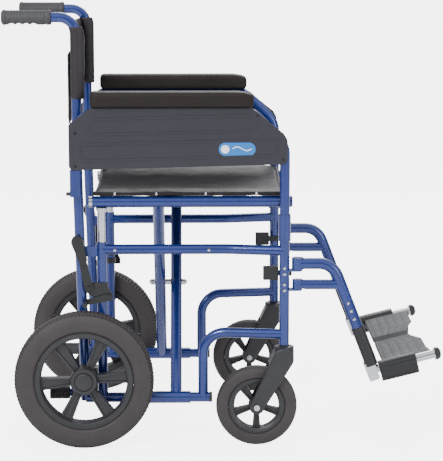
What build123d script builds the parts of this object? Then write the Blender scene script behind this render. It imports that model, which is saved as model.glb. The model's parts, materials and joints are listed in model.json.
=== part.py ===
from build123d import *

import os
from math import acos, atan2, cos, degrees, hypot, radians, sin

os.makedirs("parts", exist_ok=True)

# Attendant wheelchair with a folding cross brace. Millimetres. +X is forward, +Y is the
# sitter's left and +Z is up. The origin is on the floor, midway between the sides and
# midway along the overall length. Each side piece is modelled on the left (+Y) side and
# mirrored to the right.

# Overall sizes
rear_reach = 474.5          # origin to the back of the push grips
front_reach = 474.5         # origin to the front of the footplate rods
rail_y = 215.0              # middle of the seat rails, lower rails, rear and back posts
front_y = 240.0             # middle of the front posts, casters and leg rests
handle_z = 937.0            # middle of the push handles
seat_rail_z = 538.0
lower_rail_z = 101.0
mid_rail_z = 433.0
folded_gap = 160.0          # between the two lower rails when folded

# Tube sizes
tube_od = 22.0
tube_wall = 1.6
leg_tube_od = 25.0
leg_tube_wall = 1.5
brace_od = 25.0
brace_wall = 1.8
seat_rail_od = 25.0
guide_od = 18.0
running = 0.04              # radial clearance of the sliding and turning fits
face_gap = 0.3              # between faces of pieces that move apart
soft_gap = 0.3              # between a soft piece and what carries it

# Side frame stations along X
back_post_top_x = -316.0
back_post_foot_x = -303.0
back_post_bend_z = 590.0
back_post_foot_z = 96.0
handle_bend_radius = 36.0
back_post_lean_radius = 200.0
rear_post_x = -265.0
rear_post_top_z = 450.0
front_post_x = 133.0
front_post_foot_z = 225.0
front_post_top_z = 463.0
mid_rail_bend_x = 10.0
mid_rail_bend_radius = 150.0
loop_x = -44.0
loop_z = 248.0
loop_bend_radius = 50.0
lower_rail_front_x = -30.0
post_link_zs = (200.0, 429.0)
post_link_height = 22.0
post_link_width = 10.0
tip_tube_z = 113.0
tip_tube_rear_x = -376.0
tip_sleeve_length = 44.0
tip_sleeve_od = 27.0
tip_sleeve_overhang = 6.0
rail_plug_length = 6.0
rail_plug_stand = 0.5       # of the plug round its tube

# Push grips
grip_length = 106.5
grip_od = 33.0
grip_end_wall = 4.0
grip_edge_radius = 3.0

# Armrests
arm_tube_z = 735.0
arm_rear_x = -318.0
arm_front_x = 62.0
arm_knee_z = 665.0
arm_rear_foot_z = 563.0
arm_bends = (50.0, 40.0, 55.0)
collar_od = 27.0
collar_top_z = 513.0
collar_grip = 8.0
rear_socket_z = 553.0
rear_socket_height = 58.0
rear_socket_floor = 4.0
socket_link = (10.0, 8.0, 50.0)
socket_knob_od = 8.0
socket_knob_length = 8.0
socket_knob_height = 6.0    # above the socket's foot
pad_length = 351.0
pad_rear_x = -286.0
pad_width = 52.0
pad_height = 35.0
pad_corner_radius = 14.0
pad_top_radius = 9.0
panel_thickness = 3.0
panel_rear_x = -332.0
panel_front_x = 138.0
panel_rear_foot_z = 612.0
panel_front_foot_z = 624.0
panel_top_z = 745.0
panel_rear_shoulder_z = 711.0
panel_front_shoulder_z = 690.0
panel_front_nose = 8.0
panel_front_nose_z = 676.0
panel_corner_radius = 10.0
bead_width = 5.0
bead_height = 1.2

# Rear wheels
wheel_x = -304.0
wheel_y = 260.0
wheel_radius = 152.5
wheel_width = 48.0
rim_radius = 108.0
rim_inner_radius = 95.0
rim_width = 40.0
hub_radius = 30.0
hub_length = 48.0
hub_cap_radius = 24.0
hub_cap_height = 5.0
wheel_spokes = 6
wheel_spoke_root = 15.0
wheel_spoke_tip = 27.0
wheel_spoke_depth = 24.0
axle_od = 12.0
axle_head_od = 20.0
axle_head_height = 8.0
axle_end_gap = 1.0
tyre_shoulder = 17.0
spoke_sink = 1.5            # of each spoke into its rim
spoke_root_share = 0.8      # of the hub radius, where each spoke starts

# Brakes
brake_pivot_x = -293.0
brake_pivot_z = 352.0
brake_pin_od = 8.0
brake_plate_thickness = 3.0
brake_plate_edge = 9.0      # round each pivot
brake_plate_head = 10.0
brake_plate_side = 8.0      # round the rear post
brake_clamp_half = 6.0
brake_clamp_wall = 3.0
shoe_pivot_x = -250.0
shoe_pivot_z = 330.0
shoe_x = -300.0
shoe_gap = 8.5              # between the shoe and the tyre with the brake off
shoe_bar_od = 10.0
lever_top_z = 467.0
lever_grip_foot_z = 409.0
lever_lean_x = -24.0        # how far the lever's top lies behind its pivot
lever_thickness = 4.0
lever_stand = 7.0           # of the lever off its bracket
lever_boss_radius = 10.0
lever_neck_radius = 8.0
lever_grip_radii = (9.0, 13.0)
lever_grip_cheek = 6.0      # of the grip past each face of the blade
brake_pin_stand = 5.0
shoe_pin_stand = 3.0
shoe_boss_radius = 8.0
shoe_end_radius = 6.0
shoe_reach = 12.0           # past the middle of the tyre

# Casters
caster_trail = 60.0
caster_radius = 89.0
caster_width = 32.0
caster_rim_radius = 62.0
caster_rim_inner_radius = 50.0
caster_hub_radius = 17.0
caster_spokes = 5
caster_spoke_width = 11.0
caster_spoke_flare = 7.0
caster_spoke_depth = 20.0
caster_rim_width = 28.0
caster_shoulder = 12.0
caster_head_od = 13.0
caster_head_height = 4.0
caster_axle_od = 8.0
fork_crown_radius = 23.0
fork_crown_z = 205.0
fork_top_z = 222.0
fork_boss_radius = 16.0
fork_leg_thickness = 8.0
fork_side_gap = 3.0
fork_tyre_gap = 7.0
fork_cheek_setback = 2.0
fork_cheek_drop = 8.0
fork_crown_height = 12.0
stem_od = 12.0
stem_top_z = 292.0
bush_height = 14.0

# Cross brace
brace_a_x = -141.0
brace_b_x = -104.0
hinge_sleeve_rear_x = -180.0
hinge_sleeve_front_x = -72.0
hinge_sleeve_od = 27.0
pivot_bolt_od = 8.0
pivot_head_od = 13.0
pivot_head_height = 5.5
seat_rail_rear_x = -293.0
seat_rail_front_x = 150.0
guide_foot_z = 250.0
saddle_height = 6.0
saddle_od = 24.0
guide_wall = 1.5

# Upholstery
seat_rear_x = -284.0
seat_front_x = 138.0
seat_overhang = 13.0        # past the middle of each seat rail
seat_thickness = 12.0
seat_sag = 18.0
back_foot_z = 762.0
back_top_z = 900.0
back_thickness = 6.0
back_sag = 26.0
sleeve_thickness = 3.2

# Leg rests
hinge_x = 162.0
hinge_pin_od = 8.0
hinge_plate_thickness = 4.0
hinge_plate_width = 20.0
lug_stand = 0.5             # how far the hinge lugs stand proud of their tubes
hinge_pin_height = 14.0
strut_plate_lift = 2.0      # towards the strut
lug_relief = (30.0, 30.0, 10.0)
leg_top_z = 405.0
leg_strut_z = 358.5
leg_corner_x = 238.4
leg_angle = 68.8            # of the sloping tube, below level
leg_bend_radius = 45.0
leg_tube_reach = 152.3      # corner to the end of the sloping tube
inner_tube_start = 60.0
cover_od = 28.0
cover_reach = 243.0
rod_od = 19.0
rod_y = 232.0
rod_angle = 14.0            # of the footplate rod, above level
rod_rear_x = 326.0
rod_rear_z = 166.0
rod_cap_od = 27.0
rod_cap_length = 9.0
rod_cap_round = 6.0
clamp_size = (24.0, 30.0, 42.0)
clamp_shift = 2.0           # of the clamp down its tube
clamp_corner_radius = 4.0
rod_cap_cover = 2.0         # of the cap past the rod's end
barrel_od = 30.0
barrel_start = 18.0
barrel_length = 84.0
plate_start = 30.0
plate_length = 110.0
plate_inner_gap = 20.0      # from the middle of the chair to the footplate's inner edge
plate_thickness = 13.0
plate_skirt_depth = 44.0
plate_skirt_drop = 7.5      # of the skirt's middle below the rod
plate_skirt_thickness = 7.0
plate_skirt_offset = 10.5   # from the rod to the middle of the skirt
latch_pivot_x = 150.0
latch_rear_x = 87.0
latch_thickness = 4.0
latch_tab = (33.0, 12.0, 30.0)
latch_height = 12.0
latch_edge_radius = 1.5

# Sizes that follow from the ones above
tube_r = tube_od / 2
post_bore_r = guide_od / 2 + running
leg_bore_r = leg_tube_od / 2 - leg_tube_wall
inner_tube_od = 2 * (leg_bore_r - running)
brace_span = 2 * rail_y
brace_rise = seat_rail_z - lower_rail_z
brace_length = hypot(brace_span, brace_rise)
brace_rest_angle = atan2(brace_rise, brace_span)
brace_folded_angle = acos(folded_gap / brace_length)
pivot_z = (seat_rail_z + lower_rail_z) / 2
arm_y = front_y
panel_y = arm_y + tube_r + face_gap
caster_x = front_post_x - caster_trail
fork_inner_half = caster_width / 2 + fork_side_gap
fork_outer_half = fork_inner_half + fork_leg_thickness
leg_slope = Vector(cos(radians(leg_angle)), 0, -sin(radians(leg_angle)))
leg_corner = Vector(leg_corner_x, front_y, leg_top_z)
rod_way = Vector(cos(radians(rod_angle)), 0, sin(radians(rod_angle)))
rod_start = Vector(rod_rear_x, rod_y, rod_rear_z)
rod_cap_face_r = rod_cap_od / 2 - rod_cap_round
rod_length = rod_cap_round + (
    front_reach - rod_rear_x - rod_cap_round - rod_cap_face_r * sin(radians(rod_angle))
) / cos(radians(rod_angle))
plate_width = rod_y - plate_inner_gap
shoe_radius = wheel_radius + shoe_gap + shoe_bar_od / 2
shoe_z = wheel_radius + (shoe_radius**2 - (shoe_x - wheel_x) ** 2) ** 0.5


def tube_between(start, end, outside, wall):
    """A straight round tube from one point to another; a wall of 0 makes a bar."""
    way = Vector(*end) - Vector(*start)
    with BuildPart() as tube:
        with BuildSketch(Plane(origin=start, z_dir=way)):
            Circle(outside / 2)
            if wall:
                Circle(outside / 2 - wall, mode=Mode.SUBTRACT)
        extrude(amount=way.length)
    return tube.part


def bent_tube(points, bends, outside, wall):
    """A round tube along straight runs joined by arcs of the given radii."""
    with BuildPart() as tube:
        with BuildLine() as path:
            FilletPolyline(*points, radius=bends)
        with BuildSketch(Plane(origin=path.line @ 0, z_dir=path.line % 0)):
            Circle(outside / 2)
            if wall:
                Circle(outside / 2 - wall, mode=Mode.SUBTRACT)
        sweep(path=path.line)
    return tube.part


def across(x, z, y_from, y_to, diameter, bore=0.0):
    """A bar or ring along Y at the given X and Z."""
    return tube_between((x, y_from, z), (x, y_to, z), diameter, (diameter - bore) / 2 if bore else 0)


def upright(x, y, z_from, z_to, diameter, bore=0.0):
    """A bar or ring along Z at the given X and Y."""
    return tube_between((x, y, z_from), (x, y, z_to), diameter, (diameter - bore) / 2 if bore else 0)


def write(name, part):
    """Label one finished piece and write it."""
    part.label = name
    export_step(part, f"parts/{name}.step")


def write_pair(name, part):
    """Write a side piece and its mirror image."""
    write(f"{name}_left", part)
    write(f"{name}_right", mirror(part, about=Plane.XZ))


# ---- Side frame ----

back_post_path = [
    (-rear_reach + grip_end_wall, rail_y, handle_z),
    (back_post_top_x, rail_y, handle_z),
    (back_post_top_x, rail_y, back_post_bend_z),
    (back_post_foot_x, rail_y, back_post_foot_z),
]
back_post_bends = [handle_bend_radius, back_post_lean_radius]
back_post_tube = bent_tube(back_post_path, back_post_bends, tube_od, tube_wall)
back_post_solid = bent_tube(back_post_path, back_post_bends, tube_od, 0)
axle_hole = across(wheel_x, wheel_radius, rail_y - tube_od, rail_y + tube_od, axle_od)
with BuildPart() as back_post:
    add(back_post_tube)
    add(axle_hole, mode=Mode.SUBTRACT)
write_pair("back_post", back_post.part)

lower_rail_ends = ((back_post_foot_x, rail_y, lower_rail_z), (lower_rail_front_x, rail_y, lower_rail_z))
lower_rail_bar = tube_between(*lower_rail_ends, tube_od, 0)
rear_post_bar = upright(rear_post_x, rail_y, lower_rail_z, rear_post_top_z, tube_od)
front_post_bar = upright(front_post_x, front_y, front_post_foot_z, front_post_top_z, tube_od)
front_post_bore = tube_od - 2 * tube_wall

with BuildPart() as side_posts:
    add(upright(rear_post_x, rail_y, lower_rail_z, rear_post_top_z, tube_od, 2 * post_bore_r))
    add(lower_rail_bar, mode=Mode.SUBTRACT)
    add(upright(front_post_x, front_y, front_post_foot_z, front_post_top_z, tube_od, front_post_bore))
write_pair("side_posts", side_posts.part)

mid_rail_path = [
    (rear_post_x, rail_y, mid_rail_z),
    (mid_rail_bend_x, rail_y, mid_rail_z),
    (front_post_x, front_y, mid_rail_z),
]
with BuildPart() as side_rails:
    add(bent_tube(mid_rail_path, [mid_rail_bend_radius], tube_od, tube_wall))
    add(rear_post_bar, mode=Mode.SUBTRACT)
    add(front_post_bar, mode=Mode.SUBTRACT)
    add(tube_between(*lower_rail_ends, tube_od, tube_wall))
    add(back_post_solid, mode=Mode.SUBTRACT)
write_pair("side_rails", side_rails.part)

loop_path = [
    (front_post_x, front_y, loop_z),
    (loop_x, rail_y, loop_z),
    (loop_x, rail_y, lower_rail_z),
]
with BuildPart() as front_loop:
    add(bent_tube(loop_path, [loop_bend_radius], tube_od, tube_wall))
    add(front_post_bar, mode=Mode.SUBTRACT)
    add(lower_rail_bar, mode=Mode.SUBTRACT)
write_pair("front_loop", front_loop.part)

# Links, sockets, hinge plates and caster bushes, all fixed to the side frame
collar_foot_z = front_post_top_z - collar_grip
rear_socket_y = arm_y
hinge_plate_z = leg_top_z - leg_tube_od / 2 - face_gap
strut_plate_z = leg_strut_z - tube_r + strut_plate_lift
link_middle_x = (back_post_foot_x + rear_post_x) / 2
with BuildPart() as frame_fittings:
    for link_z in post_link_zs:
        with Locations((link_middle_x, rail_y, link_z)):
            Box(rear_post_x - back_post_foot_x, post_link_width, post_link_height)
    add(tube_between(
        (back_post_foot_x, rail_y, tip_tube_z), (tip_tube_rear_x, rail_y, tip_tube_z), guide_od, tube_wall
    ))
    for plate_z in (hinge_plate_z, strut_plate_z):
        with BuildSketch(Plane.XY.offset(plate_z - hinge_plate_thickness)):
            with Locations(((front_post_x + hinge_x) / 2, front_y)):
                Rectangle(hinge_x - front_post_x, hinge_plate_width)
            with Locations((hinge_x, front_y)):
                Circle(hinge_plate_width / 2)
        extrude(amount=hinge_plate_thickness)
    add(back_post_solid, mode=Mode.SUBTRACT)
    add(rear_post_bar, mode=Mode.SUBTRACT)
    add(front_post_bar, mode=Mode.SUBTRACT)
    for pin_z in (hinge_plate_z, strut_plate_z):
        add(upright(hinge_x, front_y, pin_z, pin_z + hinge_pin_height, hinge_pin_od))
    add(upright(front_post_x, front_y, collar_foot_z, front_post_top_z, collar_od, tube_od))
    add(upright(front_post_x, front_y, front_post_top_z, collar_top_z, collar_od, tube_od + 2 * running))
    add(upright(
        arm_rear_x, rear_socket_y, rear_socket_z, rear_socket_z + rear_socket_height,
        collar_od, tube_od + 2 * running,
    ))
    add(upright(arm_rear_x, rear_socket_y, rear_socket_z, rear_socket_z + rear_socket_floor, tube_od + 2.0))
    with Locations(((back_post_top_x + arm_rear_x) / 2, rail_y + tube_r,
                    rear_socket_z + rear_socket_height / 2)):
        Box(*socket_link)
    add(back_post_solid, mode=Mode.SUBTRACT)
    add(upright(
        arm_rear_x, rear_socket_y, rear_socket_z + rear_socket_floor, rear_socket_z + rear_socket_height,
        tube_od + 2 * running,
    ), mode=Mode.SUBTRACT)
    for bush_z in (front_post_foot_z, stem_top_z - bush_height):
        add(upright(
            front_post_x, front_y, bush_z, bush_z + bush_height, front_post_bore, stem_od + 2 * running
        ))
write_pair("frame_fittings", frame_fittings.part)

# Black end plugs, the tipping sleeve and the armrest socket's knob
tip_sleeve_start = (tip_tube_rear_x - tip_sleeve_overhang, rail_y, tip_tube_z)
tip_sleeve_plane = Plane(origin=tip_sleeve_start, z_dir=(1, 0, 0))
with BuildPart() as frame_trim:
    add(tube_between(
        (lower_rail_front_x, rail_y, lower_rail_z),
        (lower_rail_front_x + rail_plug_length, rail_y, lower_rail_z),
        tube_od + 2 * rail_plug_stand, 0,
    ))
    with BuildSketch(tip_sleeve_plane):
        Circle(tip_sleeve_od / 2)
    extrude(amount=tip_sleeve_length)
    add(tube_between(
        (tip_tube_rear_x, rail_y, tip_tube_z), (back_post_foot_x, rail_y, tip_tube_z), guide_od, 0
    ), mode=Mode.SUBTRACT)
    socket_back_x = arm_rear_x - collar_od / 2
    add(tube_between(
        (arm_rear_x, rear_socket_y, rear_socket_z + socket_knob_height),
        (socket_back_x - socket_knob_length, rear_socket_y, rear_socket_z + socket_knob_height),
        socket_knob_od, 0,
    ))
    add(upright(arm_rear_x, rear_socket_y, rear_socket_z, rear_socket_z + rear_socket_height, collar_od),
        mode=Mode.SUBTRACT)
write_pair("frame_trim", frame_trim.part)

# ---- Push grips ----

grip_rear_x = -rear_reach
with BuildPart() as handle_grip:
    with BuildSketch(Plane(origin=(grip_rear_x, rail_y, handle_z), z_dir=(1, 0, 0))):
        Circle(grip_od / 2)
    extrude(amount=grip_length)
    fillet(handle_grip.edges().filter_by(GeomType.CIRCLE), radius=grip_edge_radius)
    add(back_post_solid, mode=Mode.SUBTRACT)
write_pair("handle_grip", handle_grip.part)

# ---- Armrests ----

arm_path = [
    (arm_rear_x, arm_y, arm_rear_foot_z),
    (arm_rear_x, arm_y, arm_tube_z),
    (arm_front_x, arm_y, arm_tube_z),
    (front_post_x, arm_y, arm_knee_z),
    (front_post_x, arm_y, front_post_top_z + face_gap),
]
with BuildPart() as armrest_tube:
    add(bent_tube(arm_path, list(arm_bends), tube_od, tube_wall))
write_pair("armrest_tube", armrest_tube.part)

pad_foot_z = arm_tube_z + tube_r + soft_gap
with BuildPart() as arm_pad:
    with Locations((pad_rear_x + pad_length / 2, arm_y, pad_foot_z + pad_height / 2)):
        Box(pad_length, pad_width, pad_height)
    fillet(arm_pad.edges().filter_by(Axis.Z), radius=pad_corner_radius)
    fillet(arm_pad.faces().sort_by(Axis.Z)[-1].edges(), radius=pad_top_radius)
write_pair("arm_pad", arm_pad.part)

panel_outline = [
    (panel_rear_x, panel_rear_foot_z),
    (panel_rear_x, panel_rear_shoulder_z),
    (pad_rear_x, panel_top_z),
    (arm_front_x, panel_top_z),
    (panel_front_x - panel_front_nose, panel_front_shoulder_z),
    (panel_front_x, panel_front_nose_z),
    (panel_front_x, panel_front_foot_z),
]
lower_bead = [(-311.0, 629.0), (-311.0, 670.0), (119.0, 680.0), (119.0, 641.0)]
upper_bead = [(-303.0, 686.0), (-278.0, 724.0), (48.0, 732.0), (84.0, 694.0)]
panel_plane = Plane(origin=(0, panel_y, 0), x_dir=(1, 0, 0), z_dir=(0, -1, 0))
outer_plane = Plane(origin=(0, panel_y + panel_thickness, 0), x_dir=(1, 0, 0), z_dir=(0, -1, 0))
with BuildPart() as side_panel:
    with BuildSketch(panel_plane) as outline:
        with BuildLine():
            Polyline(*panel_outline, close=True)
        make_face()
        fillet(outline.vertices(), radius=panel_corner_radius)
    extrude(amount=-panel_thickness)
    for bead in (lower_bead, upper_bead):
        with BuildSketch(outer_plane) as ring:
            with BuildLine():
                Polyline(*bead, close=True)
            make_face()
            fillet(ring.vertices(), radius=panel_corner_radius)
            offset(amount=-bead_width, mode=Mode.SUBTRACT)
        extrude(amount=-bead_height)
write_pair("side_panel", side_panel.part)

# ---- Rear wheels ----

wheel_plane = Plane(origin=(wheel_x, wheel_y, wheel_radius), x_dir=(1, 0, 0), z_dir=(0, 1, 0))


def wheel_disc(plane, outer_r, inner_r, width, hub_r, hub_length, bore_r, count, root, tip, depth):
    """A moulded wheel centre: rim ring, hub and tapered spokes."""
    with BuildPart() as disc:
        with BuildSketch(plane.offset(-width / 2)):
            Circle(outer_r)
            Circle(inner_r, mode=Mode.SUBTRACT)
        extrude(amount=width)
        with BuildSketch(plane.offset(-hub_length / 2)):
            Circle(hub_r)
        extrude(amount=hub_length)
        with BuildSketch(plane.offset(-depth / 2)):
            with PolarLocations(0, count, start_angle=90.0):
                Polygon(
                    (hub_r * spoke_root_share, -root / 2), (inner_r + spoke_sink, -tip / 2),
                    (inner_r + spoke_sink, tip / 2), (hub_r * spoke_root_share, root / 2), align=None,
                )
        extrude(amount=depth)
        with BuildSketch(plane.offset(-hub_length / 2)):
            Circle(bore_r)
        extrude(amount=hub_length, mode=Mode.SUBTRACT)
    return disc.part


def round_tyre(plane, outer_r, inner_r, width, shoulder):
    """A solid tyre with rounded shoulders."""
    with BuildPart() as tyre:
        with BuildSketch(plane.offset(-width / 2)):
            Circle(outer_r)
        extrude(amount=width)
        fillet(tyre.edges().filter_by(GeomType.CIRCLE), radius=shoulder)
        with BuildSketch(plane.offset(-width / 2)):
            Circle(inner_r)
        extrude(amount=width, mode=Mode.SUBTRACT)
    return tyre.part


with BuildPart() as wheel_rim:
    add(wheel_disc(
        wheel_plane, rim_radius, rim_inner_radius, rim_width, hub_radius, hub_length,
        axle_od / 2 + running, wheel_spokes, wheel_spoke_root, wheel_spoke_tip, wheel_spoke_depth,
    ))
    with BuildSketch(wheel_plane.offset(hub_length / 2)):
        Circle(hub_cap_radius)
    extrude(amount=hub_cap_height)
write_pair("wheel_rim", wheel_rim.part)

write_pair("tyre", round_tyre(wheel_plane, wheel_radius, rim_radius, wheel_width, tyre_shoulder))

axle_inner_y = rail_y - tube_r
axle_outer_y = wheel_y + hub_length / 2 - axle_end_gap
with BuildPart() as wheel_axle:
    add(across(wheel_x, wheel_radius, axle_inner_y - axle_end_gap, axle_outer_y, axle_od))
    add(across(wheel_x, wheel_radius, axle_inner_y - axle_head_height, axle_inner_y, axle_head_od))
    add(across(wheel_x, wheel_radius, rail_y + tube_r, wheel_y - hub_length / 2 - face_gap, axle_head_od))
    add(back_post_solid - axle_hole, mode=Mode.SUBTRACT)
write_pair("wheel_axle", wheel_axle.part)

# ---- Brakes ----

brake_plate_y = rail_y + tube_r + face_gap
lever_y = brake_plate_y + brake_plate_thickness + lever_stand
shoe_arm_y = brake_plate_y + brake_plate_thickness + face_gap
lever_outer_y = lever_y + lever_thickness
shoe_arm_outer_y = shoe_arm_y + lever_thickness
brake_bore = brake_pin_od + 2 * running
side_plane = Plane(origin=(0, 0, 0), x_dir=(1, 0, 0), z_dir=(0, -1, 0))
with BuildPart() as brake_bracket:
    with BuildSketch(side_plane.offset(-brake_plate_y)):
        with BuildLine():
            Polyline(
                (brake_pivot_x - brake_plate_edge, brake_pivot_z + brake_plate_head),
                (rear_post_x + brake_plate_side, brake_pivot_z + brake_plate_head),
                (shoe_pivot_x + brake_plate_edge, shoe_pivot_z + brake_plate_edge / 2),
                (shoe_pivot_x + brake_plate_edge, shoe_pivot_z - brake_plate_edge),
                (rear_post_x - brake_plate_side, shoe_pivot_z - brake_plate_edge),
                (brake_pivot_x - brake_plate_edge, brake_pivot_z - brake_plate_edge),
                close=True,
            )
        make_face()
    extrude(amount=-brake_plate_thickness)
    for clamp_z in (shoe_pivot_z + brake_clamp_wall, brake_pivot_z + face_gap):
        add(upright(
            rear_post_x, rail_y, clamp_z - brake_clamp_half, clamp_z + brake_clamp_half,
            tube_od + 2 * brake_clamp_wall,
        ))
    add(rear_post_bar, mode=Mode.SUBTRACT)
    add(across(
        brake_pivot_x, brake_pivot_z, brake_plate_y, lever_outer_y + brake_pin_stand, brake_pin_od
    ))
    add(across(
        shoe_pivot_x, shoe_pivot_z, brake_plate_y, shoe_arm_outer_y + shoe_pin_stand, brake_pin_od
    ))
write_pair("brake_bracket", brake_bracket.part)

lever_top_x = brake_pivot_x + lever_lean_x
lever_lean = lever_lean_x / (lever_top_z - brake_pivot_z)
lever_grip_x = brake_pivot_x + lever_lean * (lever_grip_foot_z - brake_pivot_z)
with BuildPart() as brake_lever:
    with BuildSketch(side_plane.offset(-lever_y)):
        with Locations((brake_pivot_x, brake_pivot_z)):
            Circle(lever_boss_radius)
        with Locations((lever_grip_x, lever_grip_foot_z)):
            Circle(lever_neck_radius)
        make_hull()
    extrude(amount=-lever_thickness)
    with BuildSketch(side_plane.offset(-(lever_y - lever_grip_cheek))):
        with Locations((lever_grip_x, lever_grip_foot_z + lever_thickness)):
            Circle(lever_grip_radii[0])
        with Locations((lever_top_x, lever_top_z - lever_grip_radii[1])):
            Circle(lever_grip_radii[1])
        make_hull()
    extrude(amount=-(lever_thickness + 2 * lever_grip_cheek))
    add(across(
        brake_pivot_x, brake_pivot_z, lever_y - 2 * lever_thickness, lever_outer_y + 2 * lever_thickness,
        brake_bore,
    ), mode=Mode.SUBTRACT)
write_pair("brake_lever", brake_lever.part)

shoe_outer_y = wheel_y + shoe_reach
with BuildPart() as brake_shoe:
    with BuildSketch(side_plane.offset(-shoe_arm_y)):
        with Locations((shoe_pivot_x, shoe_pivot_z)):
            Circle(shoe_boss_radius)
        with Locations((shoe_x, shoe_z)):
            Circle(shoe_end_radius)
        make_hull()
    extrude(amount=-lever_thickness)
    add(across(shoe_x, shoe_z, shoe_arm_y, shoe_outer_y, shoe_bar_od))
    add(across(
        shoe_pivot_x, shoe_pivot_z, shoe_arm_y - lever_thickness, shoe_arm_outer_y + lever_thickness,
        brake_bore,
    ), mode=Mode.SUBTRACT)
write_pair("brake_shoe", brake_shoe.part)

# ---- Casters ----

caster_plane = Plane(origin=(caster_x, front_y, caster_radius), x_dir=(1, 0, 0), z_dir=(0, 1, 0))
with BuildPart() as caster_rim:
    add(wheel_disc(
        caster_plane, caster_rim_radius, caster_rim_inner_radius, caster_rim_width, caster_hub_radius,
        caster_width + 2 * fork_side_gap - 2 * face_gap, caster_axle_od / 2 + running, caster_spokes,
        caster_spoke_width, caster_spoke_width + caster_spoke_flare, caster_spoke_depth,
    ))
write_pair("caster_rim", caster_rim.part)
caster_tyre = round_tyre(caster_plane, caster_radius, caster_rim_radius, caster_width, caster_shoulder)
write_pair("caster_tyre", caster_tyre)

with BuildPart() as caster_fork:
    with BuildSketch(side_plane.offset(-(front_y - fork_outer_half))):
        with Locations((front_post_x - fork_cheek_setback, fork_crown_z - fork_cheek_drop)):
            Circle(fork_crown_radius)
        with Locations((caster_x, caster_radius)):
            Circle(fork_boss_radius)
        make_hull()
    extrude(amount=-2 * fork_outer_half)
    add(upright(front_post_x, front_y, fork_crown_z - fork_crown_height, fork_top_z,
                2 * (fork_crown_radius - fork_cheek_setback / 2)))
    add(
        across(caster_x, caster_radius, front_y - fork_inner_half, front_y + fork_inner_half,
               2 * (caster_radius + fork_tyre_gap)),
        mode=Mode.SUBTRACT,
    )
    add(upright(front_post_x, front_y, fork_crown_z, stem_top_z, stem_od))
    add(upright(front_post_x, front_y, fork_crown_z, front_post_foot_z - face_gap, tube_od))
    add(
        across(caster_x, caster_radius, front_y - 2 * fork_outer_half, front_y + 2 * fork_outer_half,
               caster_axle_od),
        mode=Mode.SUBTRACT,
    )
write_pair("caster_fork", caster_fork.part)

with BuildPart() as caster_axle:
    add(across(
        caster_x, caster_radius, front_y - fork_outer_half, front_y + fork_outer_half, caster_axle_od
    ))
    for side in (-1, 1):
        add(across(
            caster_x, caster_radius, front_y + side * fork_outer_half,
            front_y + side * (fork_outer_half + caster_head_height), caster_head_od,
        ))
write_pair("caster_axle", caster_axle.part)

# ---- Cross brace and seat rails ----

rail_sides = {"a": (brace_a_x, 1), "b": (brace_b_x, -1)}
for letter, (brace_x, foot_side) in rail_sides.items():
    foot = (brace_x, foot_side * rail_y, lower_rail_z)
    head = (brace_x, -foot_side * rail_y, seat_rail_z)
    rail_bar = tube_between(
        (seat_rail_rear_x, -foot_side * rail_y, seat_rail_z),
        (seat_rail_front_x, -foot_side * rail_y, seat_rail_z), seat_rail_od, 0,
    )
    sleeve_ends = (
        (hinge_sleeve_rear_x, foot_side * rail_y, lower_rail_z),
        (hinge_sleeve_front_x, foot_side * rail_y, lower_rail_z),
    )
    with BuildPart() as cross_brace:
        add(tube_between(foot, head, brace_od, brace_wall))
        add(rail_bar, mode=Mode.SUBTRACT)
        add(tube_between(*sleeve_ends, tube_od + 2 * running, 0), mode=Mode.SUBTRACT)
        add(tube_between(*sleeve_ends, hinge_sleeve_od, (hinge_sleeve_od - tube_od) / 2 - running))
        bore = pivot_bolt_od + (2 * running if letter == "a" else 0)
        add(
            tube_between((brace_x - brace_od, 0, pivot_z), (brace_x + brace_od, 0, pivot_z), bore, 0),
            mode=Mode.SUBTRACT,
        )
    write(f"cross_brace_{letter}", cross_brace.part)

pivot_rear_x = brace_a_x - brace_od / 2 - face_gap
pivot_front_x = brace_b_x + brace_od / 2
with BuildPart() as brace_pivot_bolt:
    add(tube_between(
        (pivot_rear_x - pivot_head_height, 0, pivot_z), (pivot_front_x + pivot_head_height, 0, pivot_z),
        pivot_bolt_od, 0,
    ))
    add(tube_between(
        (pivot_rear_x - pivot_head_height, 0, pivot_z), (pivot_rear_x, 0, pivot_z), pivot_head_od, 0
    ))
    add(tube_between(
        (pivot_front_x, 0, pivot_z), (pivot_front_x + pivot_head_height, 0, pivot_z), pivot_head_od, 0
    ))
    add(tube_between(
        (brace_a_x + brace_od / 2 + face_gap, 0, pivot_z), (brace_b_x - brace_od / 2, 0, pivot_z),
        pivot_head_od, 0,
    ))
write("brace_pivot_bolt", brace_pivot_bolt.part)

with BuildPart() as seat_rail:
    add(tube_between(
        (seat_rail_rear_x, rail_y, seat_rail_z), (seat_rail_front_x, rail_y, seat_rail_z),
        seat_rail_od, tube_wall,
    ))
write_pair("seat_rail", seat_rail.part)

guide_top_z = seat_rail_z - seat_rail_od / 2 - face_gap
with BuildPart() as guide_tube:
    add(upright(rear_post_x, rail_y, guide_foot_z, guide_top_z - saddle_height, guide_od,
                guide_od - 2 * guide_wall))
    add(upright(rear_post_x, rail_y, guide_top_z - saddle_height, guide_top_z, saddle_od))
write_pair("guide_tube", guide_tube.part)

# ---- Upholstery ----

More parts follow.
